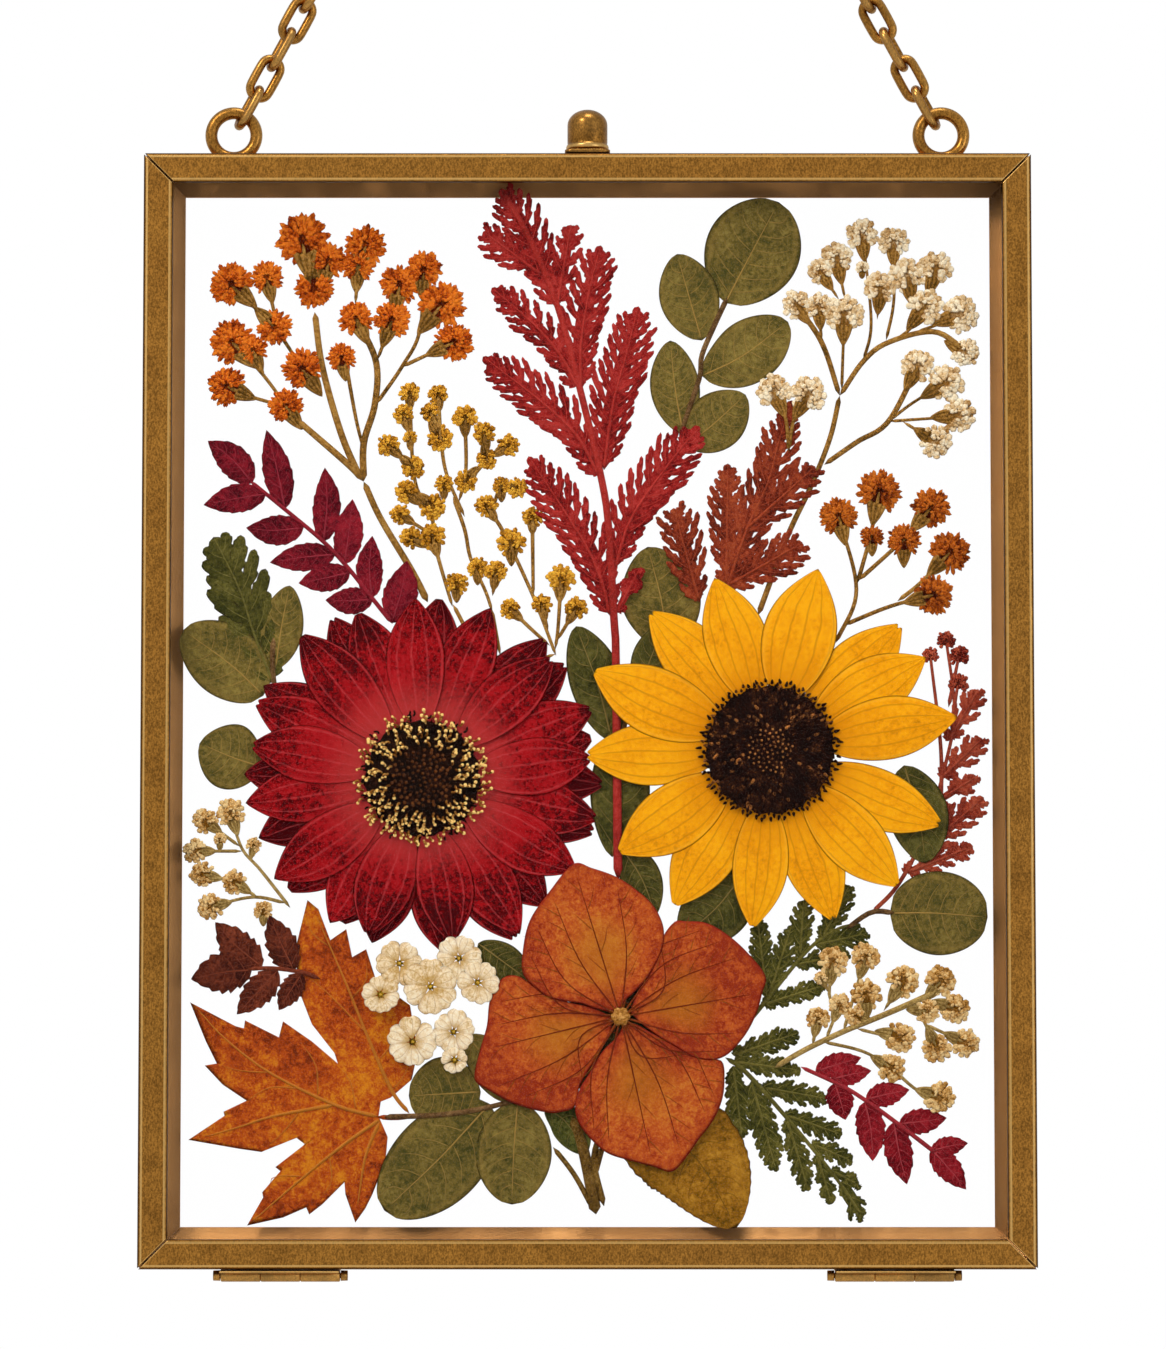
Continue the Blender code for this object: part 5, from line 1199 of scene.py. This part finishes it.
class FLOWER_OT_hydrangea(bpy.types.Operator):
    """Builds the orange hydrangea floret: four veined sepals, the bud between them and the calyx behind"""

    bl_idname = "flower.hydrangea"
    bl_label = "Hydrangea floret"

    def execute(self, context):
        look = context.scene.flower_petals
        skin = dried(
            "burnt_orange_sepal_skin", "#8E2E18", look.burnt, "#CC7A2C", "#5E2410",
            "#B4741E", 800, 0.0, 4, -0.3, 0.72, 0.6, "#8E2616",
        )
        depth = layer_depth("hydrangea_floret", 0.3)
        cx, cy = HYDRANGEA
        grids = []
        for outline, tip, level in SEPALS:
            front = depth - level * 0.14 * MM
            ahead = np.array(tip) - (cx, cy)
            hub = np.array([cx, cy]) + ahead * 0.52
            smooth = smooth_loop(outline, 120)
            grids.append(outline_sheet(smooth, hub, front, 0.06 * MM, 26, 260, 0.5, 0.05 * MM, (cx, cy)))
            grids += fan_of_veins((cx, cy), outline, tip, front - 0.1 * MM)
        calyx_green = dried("hydrangea_calyx_skin", "#141006", "#2A220E", "#4A4018", "#4A4018", None, 1500)
        behind = smooth_loop(HYDRANGEA_CALYX, 60)
        under = outline_sheet(behind, (620, 1026), depth + 0.3 * MM, 0.05 * MM, 8, 60, 0.5, 0.0)
        add_piece("hydrangea_calyx", [under], calyx_green, [])
        add_piece("hydrangea_sepals", grids, skin, ["hydrangea_floret"])
        tan = dried("hydrangea_bud_skin", "#5A3A14", "#A8702C", "#D8A860", "#6A4418", None, 1500)
        front = depth - 0.42 * MM
        bumps = [bud(polar(HYDRANGEA, 5.5, angle), 4.6, front, 0.25 * MM, 0.5) for angle in turns(6)]
        bumps.append(bud(HYDRANGEA, 5, front, 0.35 * MM, 0.7))
        add_piece("hydrangea_bud", bumps, tan, [])
        return {"FINISHED"}


def stem_way(x, y, radius, lines):
    """The direction in which a head's stem leaves it: along the nearest stem's end, or down."""
    ends = [(line[i], line[j]) for line in lines for i, j in ((0, 1), (-1, -2))]
    near = min(ends, key=lambda pair: math.hypot(pair[0][0] - x, pair[0][1] - y))
    if math.hypot(near[0][0] - x, near[0][1] - y) > 1.2 * radius:
        return math.pi / 2
    return math.atan2(near[1][1] - near[0][1], near[1][0] - near[0][0])


def floret_head(x, y, radius, down, depth, rng, rings):
    """A dried composite head: rings of small cupped petals that fan out from a point a little below its middle.

    Petals point away from the stem, all round but for GAP of a half turn.
    """
    heart = polar((x, y), radius * 0.12, down)
    line = [polar((x, y), radius * 0.72, down), (x, y), polar((x, y), -radius * 0.72, down)]
    # A dark sheet behind the petals: painted shade in the gaps between them.
    made = [blade(line, radius * 1.5, depth + 0.06 * MM, 12, 16, 0.5, 0.5, 0.05 * MM, tint=-0.1)]
    for count, reach, petal_width, forward in rings:
        fan = (math.tau - GAP * math.pi) * (np.arange(count) + rng.uniform(0, 1)) / count
        for angle in down + GAP * math.pi / 2 + fan:
            way = angle + rng.uniform(-0.16, 0.16)
            out = radius * reach * rng.uniform(0.86, 1.06)
            foot = out * 0.45 * rng.uniform(0.5, 1.1)
            bend = way + rng.uniform(-0.1, 0.1)
            made.append(blade(
                [polar(heart, foot, way), polar(heart, out, bend)],
                radius * petal_width * rng.uniform(0.85, 1.2), depth - forward * MM, 7, 6, 0.72, 0.4, 0.1 * MM,
                cup=0.05 * MM, rise=0.16 * MM * rng.uniform(0.2, 1), tint=rng.uniform(0.05, 0.75),
            ))
    return made


def calyx(x, y, radius, down, depth):
    """The funnel below a head: ribs that run together into the stem."""
    foot = polar((x, y), radius * 1.75, down)
    made = []
    for number, turn in enumerate(np.linspace(-0.66, 0.66, 7)):
        ahead = (math.cos(down + turn), math.sin(down + turn))
        top = (x + ahead[0] * radius * 0.62, y + ahead[1] * radius * 0.62)
        bend = ((top[0] + foot[0]) / 2 + ahead[0] * 1.5, (top[1] + foot[1]) / 2 + ahead[1] * 1.5)
        made.append(stalk([top, bend, foot], radius * 0.3, depth, 1.6, 10, 7, 0.7, 0.45 - 0.35 * (number % 2)))
    return made


def add_spray(name, node, heads, stems, trunks, rings, petal, stem, seed, stem_width):
    """A spray: its heads, the funnels below them and its stems, as one piece of petals and one of stems."""
    rng = np.random.default_rng(seed)
    depth = layer_depth(node)
    blooms, dry = [], []
    for x, y, radius in heads:
        down = stem_way(x, y, radius, stems + trunks)
        blooms += floret_head(x, y, radius, down, depth - 0.1 * MM, rng, rings)
        dry += calyx(x, y, radius, down, depth)
    for lines, start, end in ((stems, 1, 0.8), (trunks, 1.5, 1.7)):
        dry += [stalk(line, stem_width * start, depth, stem_width * end, tint=rng.uniform(0.3, 0.6)) for line in lines]
    add_piece(name + "_petals", blooms, petal, [node])
    add_piece(name + "_stems", dry, stem, [])


class FLOWER_OT_sprays(bpy.types.Operator):
    """Builds the orange, golden and cream sprays"""

    bl_idname = "flower.sprays"
    bl_label = "Sprays"

    def execute(self, context):
        look = context.scene.flower_petals

        # Each floret skin's last colour darkens the petals' feet: painted shade between the crowded petals.
        def floret(name, *colours):
            return dried(name, *colours, 1600, tip=0.35, rough=0.8)

        orange = floret("orange_floret_skin", "#5A1C04", look.orange, "#E07A22", "#D88A28", "#3A1004")
        russet = floret("russet_floret_skin", "#4A1606", "#98440E", "#C46A20", "#B8661A", "#341004")
        gold = floret("gold_floret_skin", "#5E3A08", look.gold, "#E4AC3A", "#D8A02C", "#4A2C06")
        cream = floret("cream_floret_skin", "#9A6A2C", look.cream, "#F8EACB", "#B88438", "#7A5018")
        ochre = floret("ochre_floret_skin", "#7E5014", "#C69450", "#EBCB90", "#9A6A1C", "#6E4812")
        stem = dried("dry_stem_skin", "#543A12", look.stem, "#B48C48", "#94703A", None, 1400)
        pale = dried("pale_stem_skin", "#6E5428", "#9C8048", "#C4A868", "#94783C", None, 1400)
        sprays = (
            ("orange_left", "orange_spray_left", ORANGE_HEADS, ORANGE_TWIGS, ORANGE_TRUNKS, TIGHT, orange, 4.2),
            ("orange_right", "orange_spray_right", RUSSET_HEADS, RUSSET_STEMS, [], TIGHT, russet, 4.5),
            ("goldenrod", "goldenrod_spray", GOLDENROD_HEADS, GOLDENROD_STEMS, [], SMALL, gold, 4.2),
            ("cream_top", "cream_spray_top", CREAM_TOP_HEADS, CREAM_TOP_TWIGS, CREAM_TOP_TRUNKS, PAPERY, cream, 3.4),
            ("cream_pair", "cream_bud_pair", CREAM_PAIR, CREAM_PAIR_STEMS, [], PAPERY, cream, 4.0),
            ("cream_left", "cream_spray_left", CREAM_LEFT_HEADS, CREAM_LEFT_STEMS, [], SMALL, ochre, 3.6),
            ("cream_low", "cream_spray_low", CREAM_LOW_HEADS, CREAM_LOW_TWIGS, CREAM_LOW_TRUNKS, PAPERY, ochre, 3.6),
        )
        for seed, (name, node, heads, stems, trunks, rings, petal, width) in enumerate(sprays, 11):
            dry = pale if petal is ochre else stem
            add_spray(name, node, heads, stems, trunks, rings, petal, dry, seed, width)
        return {"FINISHED"}


def pinnate(path, width, depth, rng, angle=0.72, fat=0.8, teeth=3, bite=0.3, belly=0.42, rachis=3.0, step=24, web=0.42):
    """A lobed frond: its rachis, the web along it, and a lobe with rounded teeth on each side every step pixels.

    A lobe leaves the rachis at angle and is as long as the frond's half width there over sin(angle). The web is the
    share of the width that the lobes have in common, and the last lobe ends the frond.
    """
    run = np.hypot(*np.diff(spline(path, np.linspace(0, 1, 12))[0], axis=0).T).sum()
    pairs = max(3, round(run / step))
    shares = np.linspace(0.03, 0.86, pairs)
    middle, normal = spline(path, shares)
    ahead = np.column_stack([normal[:, 1], -normal[:, 0]])
    half = half_width(np.clip(shares, 0.06, 0.94), width, belly, 0.45, 0.8)
    made = [
        stalk(path, rachis, depth - 0.14 * MM, 1.2, tint=0.7, vein=0.35),
        blade(path, width * web, depth + 0.03 * MM, 30, 14, belly, 0.5, 0.06 * MM, cup=0.06 * MM, tint=0.45),
    ]
    for i in range(pairs):
        for way in (-1, 1):
            reach = half[i] / math.sin(angle) * rng.uniform(0.88, 1.1)
            foot = middle[i] + ahead[i] * (rng.uniform(-1, 1) + way * step * 0.12)
            out = normal[i] * way * math.sin(angle) + ahead[i] * math.cos(angle)
            knee = foot + out * reach * 0.5 - ahead[i] * reach * 0.04
            tip = foot + out * reach + ahead[i] * reach * 0.12
            made.append(blade(
                [foot, knee, tip], step * fat * rng.uniform(0.9, 1.08), depth - 0.04 * MM * (i % 2), 20, 10, 0.45,
                0.4, 0.07 * MM, teeth, bite, cup=0.09 * MM, ruffle=0.02 * MM, seed=rng.uniform(0, 1),
                tint=rng.uniform(0.3, 0.62),
            ))
            rib = [foot, knee, foot + (tip - foot) * 0.8]
            made.append(stalk(rib, 1.3, depth - 0.15 * MM, 0.4, 6, 5, tint=0.7, vein=0.6))
    end = middle[-1] + ahead[-1] * run * 0.14
    made.append(blade([middle[-2], end], step * 1.3, depth, 18, 10, 0.5, 0.5, 0.07 * MM, 4, bite, tint=0.5))
    return made


class FLOWER_OT_ferns(bpy.types.Operator):
    """Builds the crimson, rust and green ferns"""

    bl_idname = "flower.ferns"
    bl_label = "Ferns"

    def execute(self, context):
        look = context.scene.flower_petals
        rng = np.random.default_rng(21)

        def skin(name, *colours):
            return dried(name, *colours, None, 1300, bump=0.6)

        red = skin("crimson_frond_skin", "#500C0C", look.fern_red, "#B43A34", "#B43A30")
        rust = skin("rust_frond_skin", "#46160C", look.rust, "#A84E2C", "#9A4228")
        brick = skin("brick_frond_skin", "#621C14", "#983C28", "#B85C40", "#80342A")
        green = skin("green_frond_skin", "#2A2E10", "#4A481C", "#726A30", "#7E7438")
        for name, node, stems, width, end, fronds, finish, slot, fuller in (
            ("crimson", "crimson_fern", [CRIMSON_RACHIS], 6, 9, CRIMSON_FRONDS, red, "crimson_petal", 1.08),
            ("rust", "rust_fern", [RUST_STEM], 6, 6, RUST_FRONDS, rust, "rust_frond", 1.12),
            ("edge", "edge_fern", EDGE_FERN_STEMS, 4.5, 3, EDGE_FERN_FRONDS, brick, "rust_frond", 1.1),
            ("green_low", "green_fern_low", [GREEN_FERN_STEM], 5, 3, GREEN_FERN_FRONDS, green, "green_leaf", 0.95),
            ("green_upper", "green_fern_upper", [UPPER_FERN_STEM], 5, 3, UPPER_FERN_FRONDS, green, "green_leaf", 0.95),
        ):
            depth = layer_depth(node)
            grids = [stalk(line, width, depth - 0.05 * MM, end, tint=0.55, vein=0.3) for line in stems]
            for path, width in fronds:
                grids += pinnate(path, width * fuller, depth, rng, *(GREEN_LOBES if "green" in name else RED_LOBES))
            if name == "edge":
                for x, y, radius in EDGE_FERN_HEADS:
                    grids += floret_head(x, y, radius, math.pi / 2, depth, rng, SMALL)
            add_piece(name + "_fronds", grids, finish, [node])
        return {"FINISHED"}


class FLOWER_OT_sprigs(bpy.types.Operator):
    """Builds the maroon and brown sprigs"""

    bl_idname = "flower.sprigs"
    bl_label = "Sprigs"

    def execute(self, context):
        look = context.scene.flower_petals
        rng = np.random.default_rng(31)

        def skin(name, *colours):
            return dried(name, *colours, None, 1200, bump=0.6)

        maroon = skin("maroon_leaf_skin", "#3A0810", look.maroon, "#94202C", "#8E2A36")
        red = skin("red_leaf_skin", "#4E0A12", "#82161F", "#A82A32", "#A03A40")
        brown = skin("brown_leaf_skin", "#2E120C", "#5A2618", "#864028", "#7A3A26")
        for name, node, stem, leaves, finish, slot, bite, fuller in (
            ("maroon_left", "maroon_sprig_left", MAROON_STEM, MAROON_LEAVES, maroon, "maroon_leaf", 0.1, 1.15),
            ("maroon_low", "maroon_sprig_low", MAROON_LOW_STEM, MAROON_LOW_LEAVES, red, "maroon_leaf", 0.16, 1.15),
            ("brown", "brown_sprig", BROWN_STEM, BROWN_LEAVES, brown, "brown_leaf", 0.22, 1.15),
        ):
            depth = layer_depth(node)
            grids = [stalk(stem, 4, depth - 0.05 * MM, 4.6, tint=0.75, vein=0.4)]
            for number, (base, tip, width) in enumerate(leaves):
                bend = rng.uniform(-3, 3)
                path = [base, ((base[0] + tip[0]) / 2 + bend, (base[1] + tip[1]) / 2 - bend), tip]
                front = depth - 0.05 * MM * (number % 2)
                grids.append(blade(
                    path, width * fuller, front, 30, 16, 0.44, 0.66, 0.07 * MM, 6, bite, cup=0.1 * MM,
                    ruffle=0.02 * MM, seed=number * 0.3, tint=rng.uniform(0.38, 0.6), point=0.9,
                ))
                grids += rib_pattern(path, width * fuller, front - 0.13 * MM, 5, 1.4, 0.75, 0.2, 0.44, 0.66, 0.9)
            add_piece(name + "_leaves", grids, finish, [node])
        return {"FINISHED"}


def whole_leaf(path, width, depth, belly=0.5, fullness=0.6, count=6, teeth=0, bite=0.0, seed=0.0, tint=0.5):
    """A whole leaf: its blade and its raised veins."""
    made = [
        blade(
            path, width, depth, 40, 26, belly, fullness, 0.07 * MM, teeth, bite, cup=0.1 * MM, ruffle=0.02 * MM,
            seed=seed, tint=tint, lip=0.04 * MM,
        )
    ]
    return made + rib_pattern(path, width, depth - 0.15 * MM, count, 1.2, 0.8, 0.3, belly, fullness)


class FLOWER_OT_leaves(bpy.types.Operator):
    """Builds the eucalyptus sprigs, the single leaves and the olive leaf"""

    bl_idname = "flower.leaves"
    bl_label = "Green leaves"

    def execute(self, context):
        look = context.scene.flower_petals

        def skin(name, dark, middle, light, vein, mottle=900):
            return dried(name, dark, middle, light, vein, None, mottle, bump=0.7, rim=vein)

        green = skin("eucalyptus_leaf_skin", "#42411C", look.green, "#8C7A3C", "#A08040")
        dark = skin("dark_leaf_skin", "#2C3012", "#4E4A20", "#6A6430", "#86703A")
        twig = skin("eucalyptus_twig_skin", "#46301A", "#6E5030", "#94744A", "#94744A", 1500)
        lobed = skin("lobed_leaf_skin", "#2A2E10", "#4E4A1E", "#706A32", "#7E743A", 1200)
        olive = skin("olive_leaf_skin", "#5E430E", "#96651A", "#B88428", "#6A4E12")
        for name, node, leaves, stem in (
            ("eucalyptus_top", "eucalyptus_top", EUCALYPTUS_TOP, EUCALYPTUS_TOP_STEM),
            ("eucalyptus_low", "eucalyptus_low", EUCALYPTUS_LOW, EUCALYPTUS_LOW_STEM),
            ("eucalyptus_right", "eucalyptus_right", EUCALYPTUS_RIGHT, EUCALYPTUS_RIGHT_STEM),
            ("green_sprig", "green_sprig_left", GREEN_SPRIG_LEAVES, [(272, 640), (271, 670), (275, 705)]),
            ("leaves_between", "leaves_between", LEAVES_BETWEEN, [(640, 692), (630, 712), (622, 740)]),
        ):
            depth = layer_depth(node)
            grids = []
            for number, (path, width, belly, fullness) in enumerate(leaves):
                front = depth - 0.05 * MM * (number % 3)
                grids += whole_leaf(path, width, front, belly, fullness, seed=number, tint=0.42 + 0.05 * (number % 3))
            add_piece(name + "_leaves", grids, dark if "between" in name else green, [node])
            add_piece(name + "_twig", [stalk(stem, 5.5, depth - 0.12 * MM, 5)], twig, [])
        depth = layer_depth("green_sprig_left")
        frond = pinnate([(272, 688), (253, 640), (237, 592), (211, 540)], 60, depth, np.random.default_rng(41))
        add_piece("green_sprig_frond", frond, lobed, [])
        for node, (line, width) in SINGLE_LEAVES.items():
            base, tip = line[0], line[-1]
            bend = line[1] if len(line) > 2 else ((base[0] + tip[0]) / 2 + 4, (base[1] + tip[1]) / 2 + 3)
            grids = whole_leaf([base, bend, tip], width * 1.08, layer_depth(node), tint=0.45)
            finish = green if node in ("leaf_lower_left", "leaf_above_centre") else dark
            add_piece(node + "_blade", grids, finish, [node])
        line = [(612, 1110), (690, 1156), (736, 1231)]
        grids = whole_leaf(line, 108, layer_depth("olive_leaf"), 0.45, 0.62, 8, 22, 0.05)
        add_piece("olive_leaf_blade", grids, olive, ["olive_leaf"])
        return {"FINISHED"}


def outline_sheet(outline, hub, depth, thick=0.07 * MM, rows=22, steps=420, tint=0.5, crumple=0.06 * MM, foot=None):
    """A flat leaf from its outline: each point is hub + r (outline - hub), with r from 0 to 1 and back on the rear.

    The outline's corners stay sharp, with points spaced evenly along its sides. Waves of about 9 mm crumple it.
    Its UV runs from the hub to the rim, or from the foot if there is one, and edge rises to 1 where r passes 0.95.
    """
    outline = np.array(list(outline) + list(outline[:1]), float)
    run = np.append(0, np.cumsum(np.hypot(*np.diff(outline, axis=0).T)))
    at = np.sort(np.concatenate([np.linspace(0, run[-1], steps, endpoint=False), run[:-1]]))
    at = at[np.append(True, np.diff(at) > 0.2)]
    rim = np.column_stack([np.interp(at, run, outline[:, k]) for k in (0, 1)])
    reach = np.concatenate([np.linspace(0, 1, rows), np.linspace(1, 0, rows)[1:]])[:, None]
    side = np.concatenate([np.ones(rows), -np.ones(rows - 1)])[:, None]
    hub = np.array(hub, float)
    view = hub + (rim - hub)[None, :, :] * reach[..., None]
    wave = np.sin(view[..., 0] / 7.0) * np.cos(view[..., 1] / 9.0 + view[..., 0] / 23)
    y = depth - crumple * wave - side * thick * np.sqrt(np.clip(1 - reach**6, 0, 1))
    shade = tint + 0.10 * np.sin(view[..., 1] / 41 + view[..., 0] / 57)
    rim_share = np.clip((reach - 0.95) / 0.03, 0, 1) * np.ones_like(y)
    if foot is None:
        return grid(in_space(view, y), np.broadcast_to(0.5, y.shape), reach, shade, 0.0, rim_share)
    away = np.hypot(view[..., 0] - foot[0], view[..., 1] - foot[1])
    along = 0.5 * away / away.max() + 0.5 * reach**2
    return grid(in_space(view, y), np.broadcast_to(0.5, y.shape), along, shade, 0.0, rim_share)


class FLOWER_OT_maple(bpy.types.Operator):
    """Builds the orange maple leaf"""

    bl_idname = "flower.maple"
    bl_label = "Maple leaf"

    def execute(self, context):
        look = context.scene.flower_petals
        skin = dried("maple_leaf_skin", "#702A10", look.maple, "#D0801A", "#B87428", None, 700, bump=0.7)
        depth = layer_depth("maple_leaf")
        grids = [outline_sheet(MAPLE_OUTLINE, (368, 1100), depth)]
        grids += [stalk(line, 4.2, depth - 0.12 * MM, 1.0, vein=0.9) for line in MAPLE_VEINS]
        grids += [stalk(line, 2.0, depth - 0.11 * MM, 0.6, vein=0.7) for line in MAPLE_SIDE_VEINS]
        grids.append(stalk([(376, 1121), (396, 1122), (414, 1120)], 5, depth - 0.05 * MM, 5, tint=0.1))
        add_piece("maple_blade", grids, skin, ["maple_leaf"])
        return {"FINISHED"}


class FLOWER_OT_florets(bpy.types.Operator):
    """Builds the white florets and the bundle of cut stems"""

    bl_idname = "flower.florets"
    bl_label = "White florets and stems"

    def execute(self, context):
        rng = np.random.default_rng(51)
        white = dried(
            "white_petal_skin", "#CDA666", "#F0DAB2", "#FBF0D8", "#A87838",
            "#B98A2A", 900, 0.4, 3, 0.1, 0.75, 0.35, "#A8743A",
        )
        ochre = dried("floret_centre_skin", "#4A3408", "#A8801E", "#D8B040", "#5A4010", None, 2200)
        depth = layer_depth("white_florets", 0.3)
        petals, centres = [], []
        for number, (x, y, radius) in enumerate(FLORETS):
            front = depth - 0.1 * MM * (number % 3)
            count = 6 if radius > 15 else 5
            for k in range(count):
                angle = number * 0.3 + math.tau * k / count + rng.uniform(-0.08, 0.08)
                out = radius * rng.uniform(0.98, 1.1)
                petals.append(blade(
                    [polar((x, y), 2, angle), polar((x, y), out, angle)],
                    math.tau * radius / count * 0.86, front - 0.03 * MM * (k % 2), 18, 14, 0.66, 0.6, 0.06 * MM,
                    notch=radius * 0.13, cup=0.08 * MM, ruffle=0.02 * MM, seed=k, tint=0.5 + rng.uniform(-0.1, 0.1),
                ))
            for k in range(5):
                place = polar((x, y), 2.2, math.tau * k / 5 + number)
                centres.append(bud(place, 1.6, front - 0.14 * MM, 0.1 * MM, 0.15))
            centres.append(bud((x, y), 1.6, front - 0.16 * MM, 0.12 * MM, 0.9))
        add_piece("floret_petals", petals, white, ["white_florets"])
        add_piece("floret_centres", centres, ochre, [])
        bark = dried("cut_stem_skin", "#3E2A0E", "#6E5020", "#94743A", "#54401C", None, 1400)
        depth = layer_depth("stem_bundle")
        bundle = [stalk(line, width, depth - 0.03 * MM * i, width * 1.1) for i, (line, width) in enumerate(STEM_BUNDLE)]
        add_piece("cut_stems", bundle, bark, ["stem_bundle"])
        leafy = dried("stem_leaf_skin", "#2A2E10", "#4E5022", "#6E6C34", "#7A6A34", None, 1000, bump=0.6)
        small = whole_leaf([(545, 1112), (566, 1126), (586, 1158)], 36, depth + 0.03 * MM, count=4)
        add_piece("stem_leaf", small, leafy, [])
        return {"FINISHED"}


# The surround's light where it lights the frame and where it is seen, and the view's middle below the frame's.
SURROUND, WHITE = 0.6, 1.0
AIM_BELOW = 5.8


class StageSettings(bpy.types.PropertyGroup):
    """The camera, the floor and the lights."""

    distance: length("Camera distance", 0.894, "From the camera to the frame's face")
    lens: bpy.props.FloatProperty(
        name="Lens", description="Focal length in millimetres", default=105, min=20, unit="CAMERA"
    )
    elevation: bpy.props.FloatProperty(
        name="Elevation", description="The camera's height angle", default=math.radians(-3.2), subtype="ANGLE"
    )
    backdrop: colour("Backdrop", "#FFFFFF", "The studio's white surround")
    floor: colour("Floor", "#EFEDE9", "The pale floor")


class FLOWER_OT_stage(bpy.types.Operator):
    """Sets the floor, the soft studio lights and the camera"""

    bl_idname = "flower.stage"
    bl_label = "Stage"

    def execute(self, context):
        scene = context.scene
        look = scene.flower_stage
        self.add_floor(look)
        self.add_world(scene, look)
        front = Vector((0, FRONT_FACE, (BOTTOM + TOP) / 2))
        # Place, size, watts and colour: a broad key from the upper left, a fill, and a top light for the brass.
        for name, place, size, power, tone in (
            ("key", (-0.75, -1.05, 0.95), 0.32, 6.2, "#FFF6EA"),
            ("fill", (0.95, -1.0, 0.1), 0.6, 1.8, "#F2F6FF"),
            ("top", (0.05, -0.25, 0.95), 0.3, 2.2, "#FFFFFF"),
        ):
            lamp = bpy.data.lights.new(name, "AREA")
            lamp.size, lamp.energy = size, power
            lamp.color = linear(tone)[:3]
            made = bpy.data.objects.new(name + "_light", lamp)
            made.location = front + Vector(place)
            made.rotation_euler = (-Vector(place)).to_track_quat("-Z", "Y").to_euler()
            scene.collection.objects.link(made)
        camera = bpy.data.cameras.new("camera")
        camera.lens, camera.sensor_width, camera.clip_end = look.lens, 36, 50
        made = bpy.data.objects.new("camera", camera)
        aim = Vector(
            (
                (VIEW_SIZE[0] / 2 - VIEW_MIDDLE) * PIXEL,
                FRONT_FACE,
                (VIEW_FLOOR - VIEW_SIZE[1] / 2 - AIM_BELOW) * PIXEL + BOTTOM,
            )
        )
        back = Vector((0, -math.cos(look.elevation), math.sin(look.elevation)))
        made.location = aim + back * look.distance
        made.rotation_euler = (-back).to_track_quat("-Z", "Y").to_euler()
        scene.collection.objects.link(made)
        scene.camera = made
        scene.view_settings.view_transform = "Standard"
        return {"FINISHED"}

    def add_floor(self, look):
        """A round pale floor well below the frame: rings of points whose rim turns down."""
        radius = np.array([0.001, 0.4, 0.8, 1.2, 1.21])
        turn = turns(64)
        height = BOTTOM - 0.32 + np.array([0, 0, 0, 0, -0.01])
        x, y = radius[:, None] * np.cos(turn), radius[:, None] * np.sin(turn)
        points = np.stack([x, y, np.broadcast_to(height[:, None], x.shape)], axis=-1).reshape(-1, 3)
        number = np.arange(points.shape[0]).reshape(5, 64)
        number = np.concatenate([number, number[:, :1]], axis=1)
        faces = np.stack([number[:-1, :-1], number[1:, :-1], number[1:, 1:], number[:-1, 1:]], axis=-1).reshape(-1, 4)
        mesh = bpy.data.meshes.new("floor")
        mesh.from_pydata(points.tolist(), [], faces.tolist() + [number[0, :-1].tolist()[::-1]])
        made, tree, output = empty_material("matt_studio_floor")
        where = put(tree, "ShaderNodeTexCoord").outputs["Object"]
        surfaced(made, output, noise(tree, where, 300, 2), 0.05, MM, {"Base Color": rgba(look.floor), "Roughness": 0.9})
        mesh.materials.append(made)
        obj = bpy.data.objects.new("floor", mesh)
        bpy.context.scene.collection.objects.link(obj)

    def add_world(self, scene, look):
        """White where it is seen, and dimmer for the light it gives, so that the brass keeps its dark reflections."""
        world = bpy.data.worlds.new("studio")
        world.use_nodes = True
        tree = world.node_tree
        tree.nodes.clear()
        output = put(tree, "ShaderNodeOutputWorld")
        path = put(tree, "ShaderNodeLightPath")
        seen = maths(tree, "MAXIMUM", path.outputs["Is Camera Ray"], path.outputs["Is Transmission Ray"])
        bounces = maths(tree, "ADD", path.outputs["Diffuse Depth"], path.outputs["Glossy Depth"])
        seen = maths(tree, "MULTIPLY", seen, maths(tree, "LESS_THAN", bounces, 0.5))
        strength = span(tree, seen, 0.0, 1.0, SURROUND, WHITE)
        white = put(tree, "ShaderNodeBackground", {"Color": rgba(look.backdrop), "Strength": strength})
        tree.links.new(white.outputs[0], output.inputs[0])
        scene.world = world


OPERATORS = [
    FLOWER_OT_bars, FLOWER_OT_glass, FLOWER_OT_chain, FLOWER_OT_latch, FLOWER_OT_hinges, FLOWER_OT_gerbera,
    FLOWER_OT_sunflower, FLOWER_OT_hydrangea, FLOWER_OT_sprays, FLOWER_OT_ferns, FLOWER_OT_sprigs, FLOWER_OT_leaves,
    FLOWER_OT_maple, FLOWER_OT_florets, FLOWER_OT_stage,
]
SETTINGS = {"flower_frame": FrameSettings, "flower_petals": PetalSettings, "flower_stage": StageSettings}


class FLOWER_PT_panel(bpy.types.Panel):
    """The operators and sizes of the pressed flower frame"""

    bl_idname = "FLOWER_PT_panel"
    bl_label = "Pressed flower frame"
    bl_space_type = "VIEW_3D"
    bl_region_type = "UI"
    bl_category = "Pressed Flowers"

    def draw(self, context):
        for operator in OPERATORS:
            self.layout.operator(operator.bl_idname)
        for group in SETTINGS:
            box = self.layout.box()
            for name in SETTINGS[group].__annotations__:
                box.prop(getattr(context.scene, group), name)


def register():
    for item in (*SETTINGS.values(), *OPERATORS, FLOWER_PT_panel):
        bpy.utils.register_class(item)
    for name, group in SETTINGS.items():
        setattr(bpy.types.Scene, name, bpy.props.PointerProperty(type=group))


def unregister():
    for name in SETTINGS:
        delattr(bpy.types.Scene, name)
    for item in (FLOWER_PT_panel, *reversed(OPERATORS), *SETTINGS.values()):
        bpy.utils.unregister_class(item)


def main():
    register()
    for operator in OPERATORS:
        group, name = operator.bl_idname.split(".")
        getattr(getattr(bpy.ops, group), name)()


if __name__ == "__main__":
    main()
